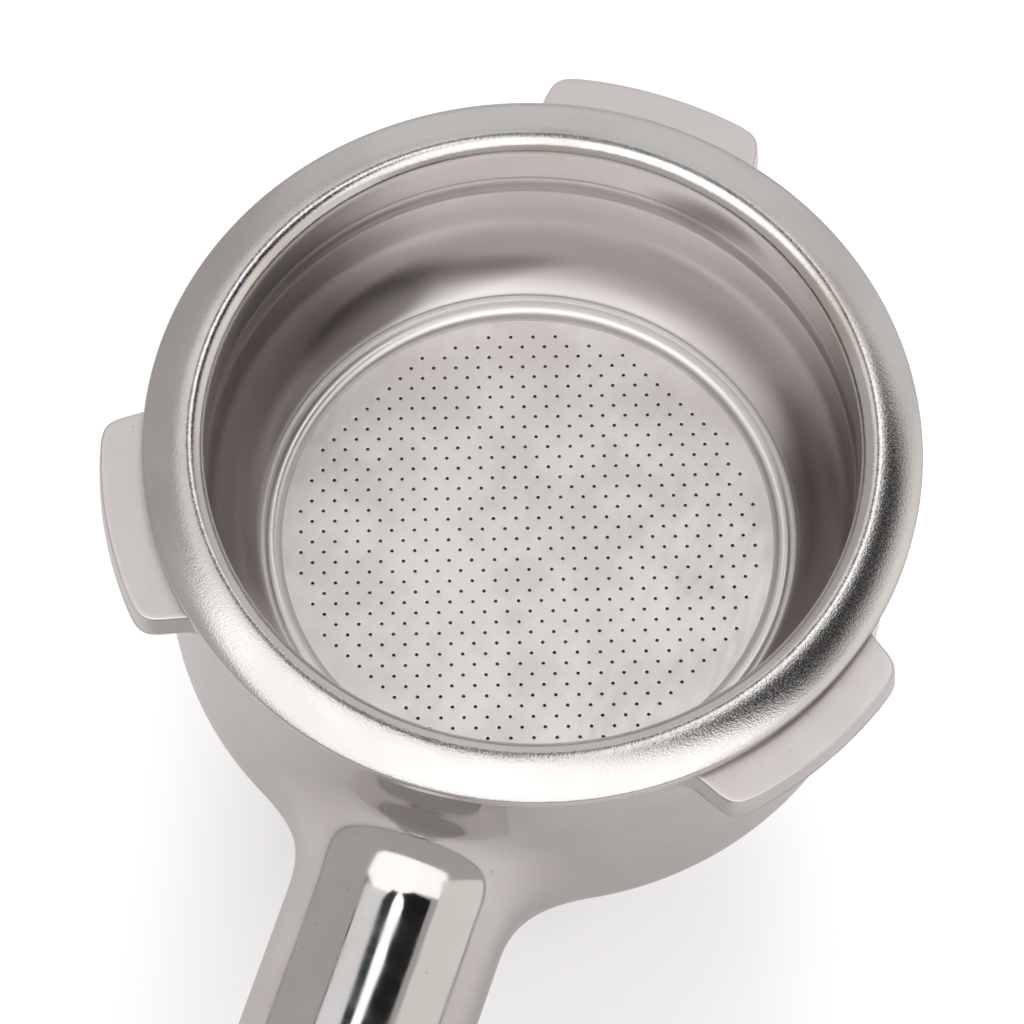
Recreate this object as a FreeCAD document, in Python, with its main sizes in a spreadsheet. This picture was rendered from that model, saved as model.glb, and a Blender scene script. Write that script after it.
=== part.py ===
"""Portafilter for a 51 mm lever-free espresso machine, as a parametric document.

Millimetres, +Z up.  The origin is on the cup's axis, in the plane where the
filter basket's rim sits on the cup.  The handle runs along -Y.
"""
import FreeCAD, Part
import math
import os
import re

import Sketcher
from FreeCAD import Placement, Rotation, Vector

DOC = FreeCAD.newDocument("portafilter")
SHEET = DOC.addObject("Spreadsheet::Sheet", "sizes")

SIZES = [
    # filter basket
    ("bore_rad", 25.4, "inside of the basket wall, where the tamper runs"),
    ("basket_sheet", 0.5, "basket sheet thickness"),
    ("rim_overhang", 1.15, "rolled rim outside the cup"),
    ("rim_crest_reach", 1.4, "rim's crest outside the bore"),
    ("rim_crest_rise", 2.2, "crest above the seat"),
    ("rim_lip_rise", 1.4, "inner lip above the seat"),
    ("rim_edge_rise", 1.1, "height of the hemmed outer edge"),
    ("rim_edge_ease", 0.25, "chamfer under the hemmed edge"),
    ("rim_lip_bow", 0.27, "bow of the rim inside its crest"),
    ("rim_slope_bow", 0.17, "bow of the rim outside its crest"),
    ("ridge_depth", 0.5, "retaining ridge, outwards"),
    ("ridge_top", 2.7, "top of the ridge below the seat"),
    ("ridge_width", 2.2, "height of the ridge"),
    ("crease_depth", 9.4, "end of the straight wall below the seat"),
    ("floor_depth", 16.7, "top of the perforated floor below the seat"),
    ("taper_draw", 4.0, "how far the tapered wall draws in"),
    ("taper_foot_rise", 1.5, "foot of the taper above the floor"),
    ("taper_bulge", 1.1, "how far the taper bows outwards"),
    ("floor_bead_width", 1.6, "width of the bead round the floor"),
    ("floor_bead_rise", 0.9, "height of that bead"),
    ("bead_valley_rise", 0.45, "groove outside that bead, above the floor"),
    # perforated floor
    ("hole_rad", 0.15, "one perforation"),
    ("hole_half_pitch", 0.914, "half of the row spacing of the staggered holes"),
    ("hole_field_margin", 1.15, "outermost perforation's place inside the bead"),
    ("hole_field_turn", 19.8, "angle of the hole rows from +X, degrees"),
    # cup, lugs and arm
    ("cup_wall", 2.1, "cup wall"),
    ("cup_straight", 21.9, "end of the straight cup wall below the seat"),
    ("cup_corner_rad", 4.5, "outside corner of the cup's bottom"),
    ("cup_bottom_slope", 16.0, "slope of the cup's bottom, degrees"),
    ("boss_ledge", 2.55, "boss outside the nipple"),
    ("boss_drop", 2.49, "height of the boss under the cup's bottom"),
    ("nipple_rad", 8.25, "threaded nipple under the boss, crest radius"),
    ("nipple_length", 8.0, "length of the nipple"),
    ("drain_rad", 4.5, "drain bore"),
    ("lug_reach", 4.45, "bayonet lugs outside the cup, at their tops"),
    ("lug_thick", 2.4, "thickness of the lugs"),
    ("lug_drop", 0.2, "top of the lugs below the seat"),
    ("lug_width", 17.6, "length of one lug round the cup, between its parallel ends"),
    ("lug_corner", 1.5, "rounded ends of the lugs, in plan"),
    ("lug_draft", 4.0, "lean of the lugs' sides, wider at the bottom, degrees"),
    ("arm_rad", 8.75, "radius of the arm"),
    ("arm_drop", 18.5, "arm's axis below the seat, on the cup's axis"),
    ("arm_droop", 3.4, "slope of the arm and handle, degrees"),
    ("arm_bury", 12.0, "start of the arm's rod inside the cup's outside"),
    ("arm_reach", 66.0, "end of the arm from the cup's axis"),
    ("arm_fillet", 5.0, "blend between the arm and the cup"),
    # basket spring
    ("wire_rad", 0.5, "wire of the basket spring"),
    ("spring_depth", 1.75, "middle of the spring below the seat"),
    ("spring_gap_angle", 24.0, "open part of the spring ring, degrees"),
    # handle
    ("stud_rad", 5.0, "handle stud, thread crest radius"),
    ("stud_in_arm", 22.0, "stud length in the arm"),
    ("stud_in_grip", 27.0, "stud length in the insert"),
    ("stud_ease", 0.8, "chamfer at the stud's ends"),
    ("washer_width", 2.9, "washer between arm and ferrule, outside the stud"),
    ("washer_thick", 1.2, "thickness of that washer"),
    ("ferrule_step", 0.8, "ferrule inside the grip's front edge"),
    ("ferrule_length", 7.0, "length of the ferrule"),
    ("ferrule_ease", 1.2, "chamfer at the ferrule's front"),
    ("insert_wall", 2.2, "wall of the threaded insert moulded in the grip"),
    ("insert_spare", 2.0, "insert past the end of the stud"),
    ("grip_length", 105.0, "length of the grip"),
    ("grip_front_rad", 11.2, "grip at the ferrule"),
    ("grip_waist_rad", 10.6, "grip at its waist"),
    ("grip_belly_rad", 15.2, "grip at its belly"),
    ("grip_end_rad", 13.2, "grip at its end"),
    ("cap_step", 1.8, "end cap inside the grip's end"),
    ("cap_thick", 2.4, "end cap's visible thickness"),
    ("cap_ease", 1.5, "chamfer of the cap's face"),
    ("cap_spigot_rad", 6.5, "end cap's spigot in the grip"),
    ("cap_spigot_length", 7.0, "length of the spigot"),
    ("screw_rad", 2.0, "end cap screw, thread crest radius"),
    ("screw_length", 16.0, "length of that screw"),
    ("screw_head_rad", 3.8, "head of that screw"),
    # double spout
    ("gasket_thick", 1.5, "spout gasket"),
    ("gasket_step", 0.4, "gasket inside the boss's edge"),
    ("collar_wall", 3.3, "wall of the spout's threaded collar"),
    ("socket_spare", 0.4, "socket past the end of the nipple"),
    ("fork_rise", 0.5, "start of the waterways above the nipple's end"),
    ("leg_sink", 2.0, "start of the legs below that"),
    ("spout_floor", 5.0, "solid under the socket"),
    ("spout_spread", 12.0, "one outlet from the cup's axis"),
    ("outlet_rad", 5.4, "outside of one outlet"),
    ("outlet_bore_rad", 3.6, "bore of one outlet"),
    ("outlet_length", 8.0, "straight length of one outlet"),
    ("spout_drop", 13.0, "outlet mouths below the nipple's end"),
    # clearances
    ("cup_clearance", 0.5, "basket's ridge to the cup's bore"),
    ("spring_clearance", 0.15, "spring to the ridge that passes it"),
    ("thread_clearance", 0.06, "between thread crests and their bores"),
    ("slip_clearance", 0.3, "loose rings on what passes through them"),
]

# Sizes that follow from the driving ones, so that the fits hold.
FITS = {
    "cup_bore": "bore_rad + basket_sheet + ridge_depth + cup_clearance",
    "cup_rad": "cup_bore + cup_wall",
    "rim_outer_rad": "cup_rad + rim_overhang",
    "rim_crest_rad": "bore_rad + rim_crest_reach",
    "taper_foot_rad": "bore_rad - taper_draw",
    "floor_bead_rad": "taper_foot_rad - floor_bead_width / 2",
    "floor_rad": "taper_foot_rad - floor_bead_width",
    "hole_field_rad": "floor_rad - hole_field_margin",
    "lug_rad": "cup_rad + lug_reach",
    "corner_mid_rad": "cup_rad - cup_corner_rad",
    "cone_start_rad": "corner_mid_rad + cup_corner_rad * sin(cup_bottom_slope)",
    "cone_start_depth": "cup_straight + cup_corner_rad * cos(cup_bottom_slope)",
    "boss_rad": "nipple_rad + boss_ledge",
    "cone_run": "(cone_start_rad - boss_rad) * tan(cup_bottom_slope)",
    "boss_depth": "cone_start_depth + cone_run + boss_drop",
    "nipple_depth": "boss_depth + nipple_length",
    "arm_root": "cup_rad - arm_bury",
    "spring_ring_rad": "bore_rad + basket_sheet + ridge_depth + spring_clearance + wire_rad",
    "ring_hole_rad": "stud_rad + slip_clearance",
    "stud_hole_rad": "stud_rad + thread_clearance",
    "washer_rad": "stud_rad + washer_width",
    "ferrule_rad": "grip_front_rad - ferrule_step",
    "insert_rad": "stud_rad + insert_wall",
    "insert_length": "stud_in_grip + insert_spare",
    "cap_rad": "grip_end_rad - cap_step",
    "cap_screw_way": "screw_rad + slip_clearance",
    "gasket_hole_rad": "nipple_rad + slip_clearance",
    "gasket_rad": "boss_rad - gasket_step",
    "socket_bore_rad": "nipple_rad + thread_clearance",
    "socket_rad": "socket_bore_rad + collar_wall",
    "spout_depth": "nipple_depth + spout_drop",
}

CUT_THROUGH = 3.0
GRIP_START = "arm_reach + washer_thick + ferrule_length"
NAME = re.compile(r"\b[a-z]+_[a-z_]+\b")


def fill_sheet():
    """One row per driving size: note, value, alias."""
    for row, (alias, amount, note) in enumerate(SIZES, start=1):
        SHEET.set("A%d" % row, note)
        SHEET.set("B%d" % row, str(amount))
        SHEET.setAlias("B%d" % row, alias)
    DOC.recompute()


def spelled_out(text, prefix=""):
    """A formula with every fit written out in driving sizes."""
    def swapped(match):
        name = match.group(0)
        if name in FITS:
            return "(" + spelled_out(FITS[name], prefix) + ")"
        return prefix + name

    return NAME.sub(swapped, text)


def expr(text):
    """A formula in size names, with each name pointing at the sheet."""
    return spelled_out(text, "sizes.")


def value(text):
    """The number that a formula in size names gives."""
    return float(SHEET.evalExpression(spelled_out(text)))


def size(name):
    """A driving size, or a fit, as a plain number."""
    return value(name)


def plane(body, role):
    """One of a body's own origin planes."""
    return next(item for item in body.Origin.OriginFeatures if item.Role == role)


def new_body(label):
    """A body whose label is its node's name."""
    body = DOC.addObject("PartDesign::Body", label)
    body.Label = label
    return body


def pinned_profile(body, name, points, role="XZ_Plane"):
    """A closed sketch of straight lines; each corner is a pair of formulas."""
    sketch = body.newObject("Sketcher::SketchObject", name)
    sketch.AttachmentSupport = [(plane(body, role), "")]
    sketch.MapMode = "FlatFace"
    corners = [Vector(value(a), value(b), 0) for a, b in points]
    count = len(corners)
    for index in range(count):
        line = Part.LineSegment(corners[index], corners[(index + 1) % count])
        sketch.addGeometry(line, False)
    for index in range(count):
        sketch.addConstraint(Sketcher.Constraint("Coincident", index, 2, (index + 1) % count, 1))
    for index, (across, up) in enumerate(points):
        for kind, text, number in (("DistanceX", across, corners[index].x),
                                   ("DistanceY", up, corners[index].y)):
            rule = sketch.addConstraint(Sketcher.Constraint(kind, -1, 1, index, 1, number))
            sketch.setExpression("Constraints[%d]" % rule, expr(text))
    return sketch


def turned(label, points):
    """A body turned about its own Z axis from (radius, height) formulas."""
    body = new_body(label)
    sketch = pinned_profile(body, label + "_profile", points)
    turn = body.newObject("PartDesign::Revolution", label + "_turned")
    turn.Profile = sketch
    turn.ReferenceAxis = (sketch, ["V_Axis"])
    turn.Angle = 360.0
    body.Tip = turn
    DOC.recompute()
    return body


def along_arm(body, distance):
    """Lay a turned piece on the arm's axis, its base at a distance from the cup's axis."""
    body.Placement = Placement(Vector(0, 0, 0), Rotation(Vector(1, 0, 0), 90))
    body.setExpression("Placement.Rotation.Angle", expr("90 + arm_droop"))
    reach = expr("(" + distance + ")")
    body.setExpression("Placement.Base.y", "-%s * cos(%s)" % (reach, expr("arm_droop")))
    drop = "-sizes.arm_drop - %s * sin(%s)" % (reach, expr("arm_droop"))
    body.setExpression("Placement.Base.z", drop)


def cylinder(name, radius, height, x="0", z="0"):
    """A vertical cylinder bound to the sheet."""
    item = DOC.addObject("Part::Cylinder", name)
    item.setExpression("Radius", expr(radius))
    item.setExpression("Height", expr(height))
    item.setExpression("Placement.Base.x", expr(x))
    item.setExpression("Placement.Base.z", expr(z))
    return item


def fused(name, items):
    """Several shapes joined into one."""
    item = DOC.addObject("Part::MultiFuse", name)
    item.Shapes = items
    return item


def cut(name, base, tool):
    """One shape with another taken away."""
    item = DOC.addObject("Part::Cut", name)
    item.Base = base
    item.Tool = tool
    return item


def bowed_arc(start, end, bow):
    """Arc between two points, with its middle to the left of their line by the bow."""
    run = end - start
    left = Vector(-run.z, 0, run.x).normalize()
    return Part.Arc(start, (start + end) * 0.5 + left * bow, end)


def chained(pieces):
    """One closed wire of points' straight lines and of arcs, in their order."""
    edges = []
    for piece in pieces:
        if isinstance(piece, list):
            corners = zip(piece, piece[1:])
            edges += [Part.LineSegment(first, last).toShape() for first, last in corners]
        else:
            edges.append(piece.toShape())
    return Part.Wire(Part.__sortEdges__(edges))


def revolved(label, pieces):
    """A solid turned about +Z from a section with arcs in it."""
    item = DOC.addObject("Part::Feature", label)
    item.Label = label
    item.Shape = Part.Face(chained(pieces)).revolve(Vector(0, 0, 0), Vector(0, 0, 1), 360)
    return item


def spot(radius, height):
    """A point of a section, from two formulas."""
    return Vector(value(radius), 0, value(height))


def ridge_arc(radius):
    """The ridge rolled into the wall, on the wall's inside or its outside."""
    top = spot(radius, "-ridge_top")
    middle = spot(radius + " + ridge_depth", "-ridge_top - ridge_width / 2")
    return Part.Arc(top, middle, spot(radius, "-ridge_top - ridge_width"))


def make_filter_basket():
    """Drawn sheet cup with a rolled rim, a retaining ridge and a bead round its floor."""
    outer = "bore_rad + basket_sheet"
    low = "-floor_depth - basket_sheet"
    lip = spot("bore_rad", "rim_lip_rise")
    crest = spot("rim_crest_rad", "rim_crest_rise")
    edge = spot("rim_outer_rad", "rim_edge_rise")
    crease_in = spot("bore_rad", "-crease_depth")
    crease_out = spot(outer, "-crease_depth")
    foot = spot("taper_foot_rad", "taper_foot_rise - floor_depth")
    foot_out = spot("taper_foot_rad + basket_sheet", "-floor_depth")
    valley = spot("taper_foot_rad", "bead_valley_rise - floor_depth")
    bead_top = spot("floor_bead_rad", "floor_bead_rise - floor_depth")
    bead_foot = spot("floor_rad", "-floor_depth")
    bulge = Vector(size("taper_bulge"), 0, 0)
    hem = [edge, spot("rim_outer_rad", "rim_edge_ease"), spot("rim_outer_rad - rim_edge_ease", "0"),
           spot(outer, "0"), spot(outer, "-ridge_top")]
    return revolved("filter_basket", [
        bowed_arc(lip, crest, size("rim_lip_bow")),
        bowed_arc(crest, edge, size("rim_slope_bow")),
        hem,
        ridge_arc(outer),
        [spot(outer, "-ridge_top - ridge_width"), crease_out],
        Part.Arc(crease_out, (crease_out + foot_out) * 0.5 + bulge, foot_out),
        [foot_out, spot("taper_foot_rad + basket_sheet / 2", low), spot("floor_rad", low),
         bead_foot],
        Part.Arc(bead_foot, bead_top, valley),
        [valley, foot],
        Part.Arc(foot, (crease_in + foot) * 0.5 + bulge, crease_in),
        [crease_in, spot("bore_rad", "-ridge_top - ridge_width")],
        ridge_arc("bore_rad"),
        [spot("bore_rad", "-ridge_top"), lip],
    ])


def hole_centres():
    """Staggered grid: in each row every other place of the half pitch is a hole."""
    pitch = size("hole_half_pitch")
    reach = size("hole_field_rad")
    steps = int(reach / pitch) + 1
    turn = Rotation(Vector(0, 0, 1), size("hole_field_turn"))
    centres = []
    for row in range(-steps, steps + 1):
        for column in range(-steps, steps + 1):
            spot = Vector(column * pitch, row * pitch, 0)
            if (row + column) % 2 == 1 and spot.Length <= reach:
                centres.append(turn.multVec(spot))
    return centres


def make_basket_floor():
    """The basket's flat floor, with every perforation."""
    thick = size("basket_sheet")
    rim = size("floor_rad")
    low = -size("floor_depth") - thick
    up = Vector(0, 0, 1)
    wires = [Part.Wire(Part.makeCircle(rim, Vector(0, 0, low), up))]
    for spot in hole_centres():
        ring = Part.makeCircle(size("hole_rad"), Vector(spot.x, spot.y, low), up)
        wires.append(Part.Wire(ring))
    face = Part.makeFace(wires, "Part::FaceMakerBullseye")
    item = DOC.addObject("Part::Feature", "basket_floor")
    item.Label = "basket_floor"
    item.Shape = face.extrude(Vector(0, 0, thick))
    return item


def cup_corner(offset):
    """Rounded corner of the cup's bottom, at a distance inside its outer skin."""
    ring = "(cup_corner_rad - %s)" % offset
    start = spot("corner_mid_rad + " + ring, "-cup_straight")
    middle = spot("corner_mid_rad + %s * cos(45 - cup_bottom_slope / 2)" % ring,
                  "-cup_straight - %s * sin(45 - cup_bottom_slope / 2)" % ring)
    end = spot("corner_mid_rad + %s * sin(cup_bottom_slope)" % ring,
               "-cup_straight - %s * cos(cup_bottom_slope)" % ring)
    return start, Part.Arc(start, middle, end), end


def down_cone(end, radius):
    """Where the cup's sloping bottom, followed in from a point, has a radius."""
    fall = (end.x - size(radius)) * math.tan(math.radians(size("cup_bottom_slope")))
    return Vector(size(radius), 0, end.z - fall)


def make_cup_skin():
    """Outside of the cup with the boss and the nipple, as one turned solid."""
    start, corner, end = cup_corner("0")
    return revolved("cup_skin", [
        corner,
        [end, down_cone(end, "boss_rad"), spot("boss_rad", "-boss_depth"),
         spot("nipple_rad", "-boss_depth"), spot("nipple_rad", "-nipple_depth"),
         spot("0", "-nipple_depth"), spot("0", "0"), Vector(start.x, 0, 0), start],
    ])


def make_cup_hollow():
    """Inside of the cup down to the drain, with the groove for the spring."""
    start, corner, end = cup_corner("cup_wall")
    low = -size("nipple_depth") - CUT_THROUGH
    half = "wire_rad + slip_clearance / 2"
    groove = "spring_ring_rad + " + half
    top = "-spring_depth + " + half
    foot = "-spring_depth - (" + half + ")"
    return revolved("cup_hollow", [
        corner,
        [end, down_cone(end, "drain_rad"), Vector(size("drain_rad"), 0, low), Vector(0, 0, low),
         Vector(0, 0, CUT_THROUGH), Vector(start.x, 0, CUT_THROUGH), spot("cup_bore", top),
         spot(groove, top), spot(groove, foot), spot("cup_bore", foot), start],
    ])


def make_lugs():
    """Three bayonet lugs: one with parallel ends, padded and patterned round the cup."""
    lug = new_body("lug_ring")
    half = size("lug_width") / 2.0
    outer = size("lug_rad")
    root = value("cup_rad - cup_wall / 2")
    sketch = lug.newObject("Sketcher::SketchObject", "lug_plan")
    sketch.AttachmentSupport = [(plane(lug, "XY_Plane"), "")]
    sketch.MapMode = "FlatFace"
    sketch.setExpression("AttachmentOffset.Base.z", expr("-lug_drop"))

    def on_ring(radius, across):
        return Vector(across, math.sqrt(radius ** 2 - across ** 2), 0)

    def ring_arc(radius):
        lean = math.asin(half / radius)
        ring = Part.Circle(Vector(0, 0, 0), Vector(0, 0, 1), radius)
        return Part.ArcOfCircle(ring, math.pi / 2 - lean, math.pi / 2 + lean)

    outline = [
        Part.LineSegment(on_ring(root, -half), on_ring(outer, -half)),
        ring_arc(outer),
        Part.LineSegment(on_ring(outer, half), on_ring(root, half)),
        ring_arc(root),
    ]
    for curve in outline:
        sketch.addGeometry(curve, False)
    pad = lug.newObject("PartDesign::Pad", "lug_pad")
    pad.Profile = sketch
    pad.Reversed = True
    pad.setExpression("Length", expr("lug_thick"))
    pad.setExpression("TaperAngle", expr("lug_draft"))
    lug.Tip = pad
    DOC.recompute()
    corner_names = ["Edge%d" % index for index, edge in enumerate(pad.Shape.Edges, start=1)
                    if is_lug_corner(edge)]
    rounding = lug.newObject("PartDesign::Fillet", "lug_corners")
    rounding.Base = (pad, corner_names)
    rounding.setExpression("Radius", expr("lug_corner"))
    lug.Tip = rounding
    DOC.recompute()
    ring = lug.newObject("PartDesign::PolarPattern", "lug_pattern")
    ring.Originals = [pad, rounding]
    ring.Axis = (sketch, ["N_Axis"])
    ring.Angle = 360.0
    ring.Occurrences = 3
    lug.Tip = ring
    DOC.recompute()
    return lug


def is_lug_corner(edge):
    """True for the four slanting edges that stand clear of the cup's wall."""
    ends = [vertex.Point for vertex in edge.Vertexes]
    if len(ends) != 2 or abs(ends[0].z - ends[1].z) < 0.5 * size("lug_thick"):
        return False
    return math.hypot(ends[0].x, ends[0].y) > value("cup_rad + lug_reach / 2")


def make_holder_body():
    """Cup, boss, nipple, lugs and arm: one casting, bored out and drilled."""
    skin = make_cup_skin()
    lugs = make_lugs()
    arm = DOC.addObject("Part::Cylinder", "arm_rod")
    arm.setExpression("Radius", expr("arm_rad"))
    arm.setExpression("Height", expr("arm_reach - arm_root"))
    along_arm(arm, "arm_root")
    DOC.recompute()
    blank = fused("holder_blank", [skin, arm])
    DOC.recompute()
    blended = DOC.addObject("Part::Fillet", "holder_blended")
    blended.Base = blank
    radius = size("arm_fillet")
    edges = []
    for index, edge in enumerate(blank.Shape.Edges, start=1):
        if joins_arm_to_cup(edge):
            edges.append((index, radius, radius))
    blended.Edges = edges
    DOC.recompute()
    whole = fused("holder_whole", [blended, lugs])
    hollow = make_cup_hollow()
    socket = DOC.addObject("Part::Cylinder", "stud_socket")
    socket.setExpression("Radius", expr("stud_hole_rad"))
    socket.setExpression("Height", expr("stud_in_arm + insert_spare + washer_thick"))
    along_arm(socket, "arm_reach - stud_in_arm - insert_spare")
    tools = fused("holder_tools", [hollow, socket])
    holder = cut("holder_body", whole, tools)
    holder.Label = "holder_body"
    DOC.recompute()
    return holder


def joins_arm_to_cup(edge):
    """True for the edges where the arm leaves the cup."""
    middle = edge.valueAt(0.5 * (edge.FirstParameter + edge.LastParameter))
    slope = math.radians(size("arm_droop"))
    axis = Vector(0, -math.cos(slope), -math.sin(slope))
    base = Vector(0, 0, -size("arm_drop"))
    from_axis = (middle - base).cross(axis).Length
    outside = math.hypot(middle.x, middle.y) > size("boss_rad")
    near_cup = -middle.y < value("cup_rad + cup_wall")
    on_arm = abs(from_axis - size("arm_rad")) < size("thread_clearance")
    return on_arm and outside and near_cup and middle.y < 0


def make_basket_spring():
    """Open wire ring in the cup's groove."""
    ring = size("spring_ring_rad")
    gap = size("spring_gap_angle")
    up = Vector(0, 0, 1)
    centre = Vector(0, 0, -size("spring_depth"))
    path = Part.makeCircle(ring, centre, up, gap / 2.0, 360.0 - gap / 2.0)
    start = path.valueAt(path.FirstParameter)
    section = Part.makeCircle(size("wire_rad"), start, path.tangentAt(path.FirstParameter))
    wire = Part.Wire(path).makePipeShell([Part.Wire(section)], True, True)
    item = DOC.addObject("Part::Feature", "basket_spring")
    item.Label = "basket_spring"
    item.Shape = wire
    return item


def make_stud():
    """Threaded rod that joins the arm to the grip."""
    length = "stud_in_arm + washer_thick + ferrule_length + stud_in_grip"
    stud = turned("handle_stud", [
        ("0", "0"),
        ("stud_rad - stud_ease", "0"),
        ("stud_rad", "stud_ease"),
        ("stud_rad", length + " - stud_ease"),
        ("stud_rad - stud_ease", length),
        ("0", length),
    ])
    along_arm(stud, "arm_reach - stud_in_arm")
    return stud


def make_washer():
    """Plain washer on the end of the arm."""
    washer = turned("handle_washer", [
        ("ring_hole_rad", "0"),
        ("washer_rad", "0"),
        ("washer_rad", "washer_thick"),
        ("ring_hole_rad", "washer_thick"),
    ])
    along_arm(washer, "arm_reach")
    return washer


def make_ferrule():
    """Ring in front of the grip, with a chamfered front."""
    ferrule = turned("handle_ferrule", [
        ("ring_hole_rad", "0"),
        ("ferrule_rad - ferrule_ease", "0"),
        ("ferrule_rad", "ferrule_ease"),
        ("ferrule_rad", "ferrule_length"),
        ("ring_hole_rad", "ferrule_length"),
    ])
    along_arm(ferrule, "arm_reach + washer_thick")
    return ferrule


def make_insert():
    """Threaded sleeve in the mouth of the grip."""
    insert = turned("handle_insert", [
        ("stud_hole_rad", "0"),
        ("insert_rad", "0"),
        ("insert_rad", "insert_length"),
        ("stud_hole_rad", "insert_length"),
    ])
    along_arm(insert, GRIP_START)
    return insert


def make_grip():
    """Moulded grip: an outline of stations along its length, and its three bores."""
    grip = turned("handle_grip", [
        ("insert_rad", "0"),
        ("grip_front_rad", "0"),
        ("grip_waist_rad", "grip_length * 0.14"),
        ("grip_waist_rad * 0.6 + grip_belly_rad * 0.4", "grip_length * 0.28"),
        ("grip_waist_rad * 0.2 + grip_belly_rad * 0.8", "grip_length * 0.44"),
        ("grip_belly_rad", "grip_length * 0.62"),
        ("grip_belly_rad * 0.8 + grip_end_rad * 0.2", "grip_length * 0.8"),
        ("grip_end_rad", "grip_length * 0.94"),
        ("cap_rad", "grip_length"),
        ("cap_spigot_rad", "grip_length"),
        ("cap_spigot_rad", "grip_length - cap_spigot_length"),
        ("screw_rad", "grip_length - cap_spigot_length"),
        ("screw_rad", "grip_length - screw_length"),
        ("0", "grip_length - screw_length"),
        ("0", "insert_length"),
        ("insert_rad", "insert_length"),
    ])
    along_arm(grip, GRIP_START)
    return grip


def make_end_cap():
    """Cap with a spigot in the grip and a countersunk hole."""
    cap = turned("end_cap", [
        ("cap_screw_way", "0 - cap_spigot_length"),
        ("cap_spigot_rad", "0 - cap_spigot_length"),
        ("cap_spigot_rad", "0"),
        ("cap_rad", "0"),
        ("cap_rad", "cap_thick * 0.4"),
        ("cap_rad - cap_ease", "cap_thick"),
        ("screw_head_rad", "cap_thick"),
        ("cap_screw_way", "cap_thick - screw_head_rad + screw_rad"),
    ])
    along_arm(cap, GRIP_START + " + grip_length")
    return cap


def make_end_cap_screw():
    """Countersunk screw through the cap."""
    screw = turned("end_cap_screw", [
        ("0", "0 - screw_length"),
        ("screw_rad", "0 - screw_length"),
        ("screw_rad", "cap_thick - screw_head_rad + screw_rad"),
        ("screw_head_rad", "cap_thick"),
        ("0", "cap_thick"),
    ])
    along_arm(screw, GRIP_START + " + grip_length")
    return screw


def leg(name, radius, side, top):
    """A slanting round leg from under the socket to one outlet."""
    start = spot("0", top)
    end = spot("%d * spout_spread" % side, "outlet_length - spout_depth")
    run = end - start
    rod = Part.makeCylinder(size(radius), run.Length, start, run)
    knee = Part.makeSphere(size(radius), end)
    item = DOC.addObject("Part::Feature", name)
    item.Shape = rod.fuse(knee)
    return item


def make_gasket():
    """Flat ring between the boss and the spout."""
    return turned("spout_gasket", [
        ("gasket_hole_rad", "0 - boss_depth - gasket_thick"),
        ("gasket_rad", "0 - boss_depth - gasket_thick"),
        ("gasket_rad", "0 - boss_depth"),
        ("gasket_hole_rad", "0 - boss_depth"),
    ])


def make_spout():
    """Threaded collar over two legs and outlets, with its socket and waterways."""
    collar = cylinder("spout_collar", "socket_rad", "nipple_length - gasket_thick + spout_floor",
                      z="-nipple_depth - spout_floor")
    bore = cylinder("spout_socket", "socket_bore_rad",
                    "nipple_length - gasket_thick + socket_spare",
                    z="-nipple_depth - socket_spare")
    solids = [collar]
    hollows = [bore]
    for word, side in (("left", -1), ("right", 1)):
        across = "%d * spout_spread" % side
        solids.append(leg("spout_leg_" + word, "outlet_rad", side,
                          "fork_rise - nipple_depth - leg_sink"))
        solids.append(cylinder("outlet_" + word, "outlet_rad", "outlet_length", across,
                               "-spout_depth"))
        hollows.append(leg("spout_way_" + word, "outlet_bore_rad", side,
                           "fork_rise - nipple_depth"))
        hollows.append(cylinder("outlet_bore_" + word, "outlet_bore_rad", "outlet_length",
                                across, "-spout_depth"))
    spout = cut("double_spout", fused("spout_solid", solids), fused("spout_hollow", hollows))
    spout.Label = "double_spout"
    DOC.recompute()
    return spout


def check(nodes):
    """Stop before writing if any object failed or any piece is unsound."""
    for item in DOC.Objects:
        if "Invalid" in item.State or "Error" in item.State:
            raise RuntimeError("failed object: " + item.Name)
    for node in nodes:
        if node.Shape.isNull() or not node.Shape.isValid() or not node.Shape.Solids:
            raise RuntimeError("unsound piece: " + node.Label)


def write(nodes):
    """One STEP file per piece, named by its label."""
    os.makedirs("parts", exist_ok=True)
    for node in nodes:
        node.Shape.exportStep("parts/" + node.Label + ".step")
        print("%-16s solids %d volume %9.1f" % (node.Label, len(node.Shape.Solids),
                                                node.Shape.Volume))


fill_sheet()
NODES = [
    make_filter_basket(),
    make_basket_floor(),
    make_holder_body(),
    make_basket_spring(),
    make_stud(),
    make_washer(),
    make_ferrule(),
    make_insert(),
    make_grip(),
    make_end_cap(),
    make_end_cap_screw(),
    make_gasket(),
    make_spout(),
]
DOC.recompute()
check(NODES)
write(NODES)
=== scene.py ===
"""Looks of an espresso portafilter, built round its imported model.

The pieces follow each other as the object goes together: basket, casting,
spring, handle, spout, and then the table, the lights and the camera.  Shapes
are worked out in millimetres, and their meshes are in metres.
"""
import math

import bpy
import numpy as np
from mathutils import Matrix, Vector


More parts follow.
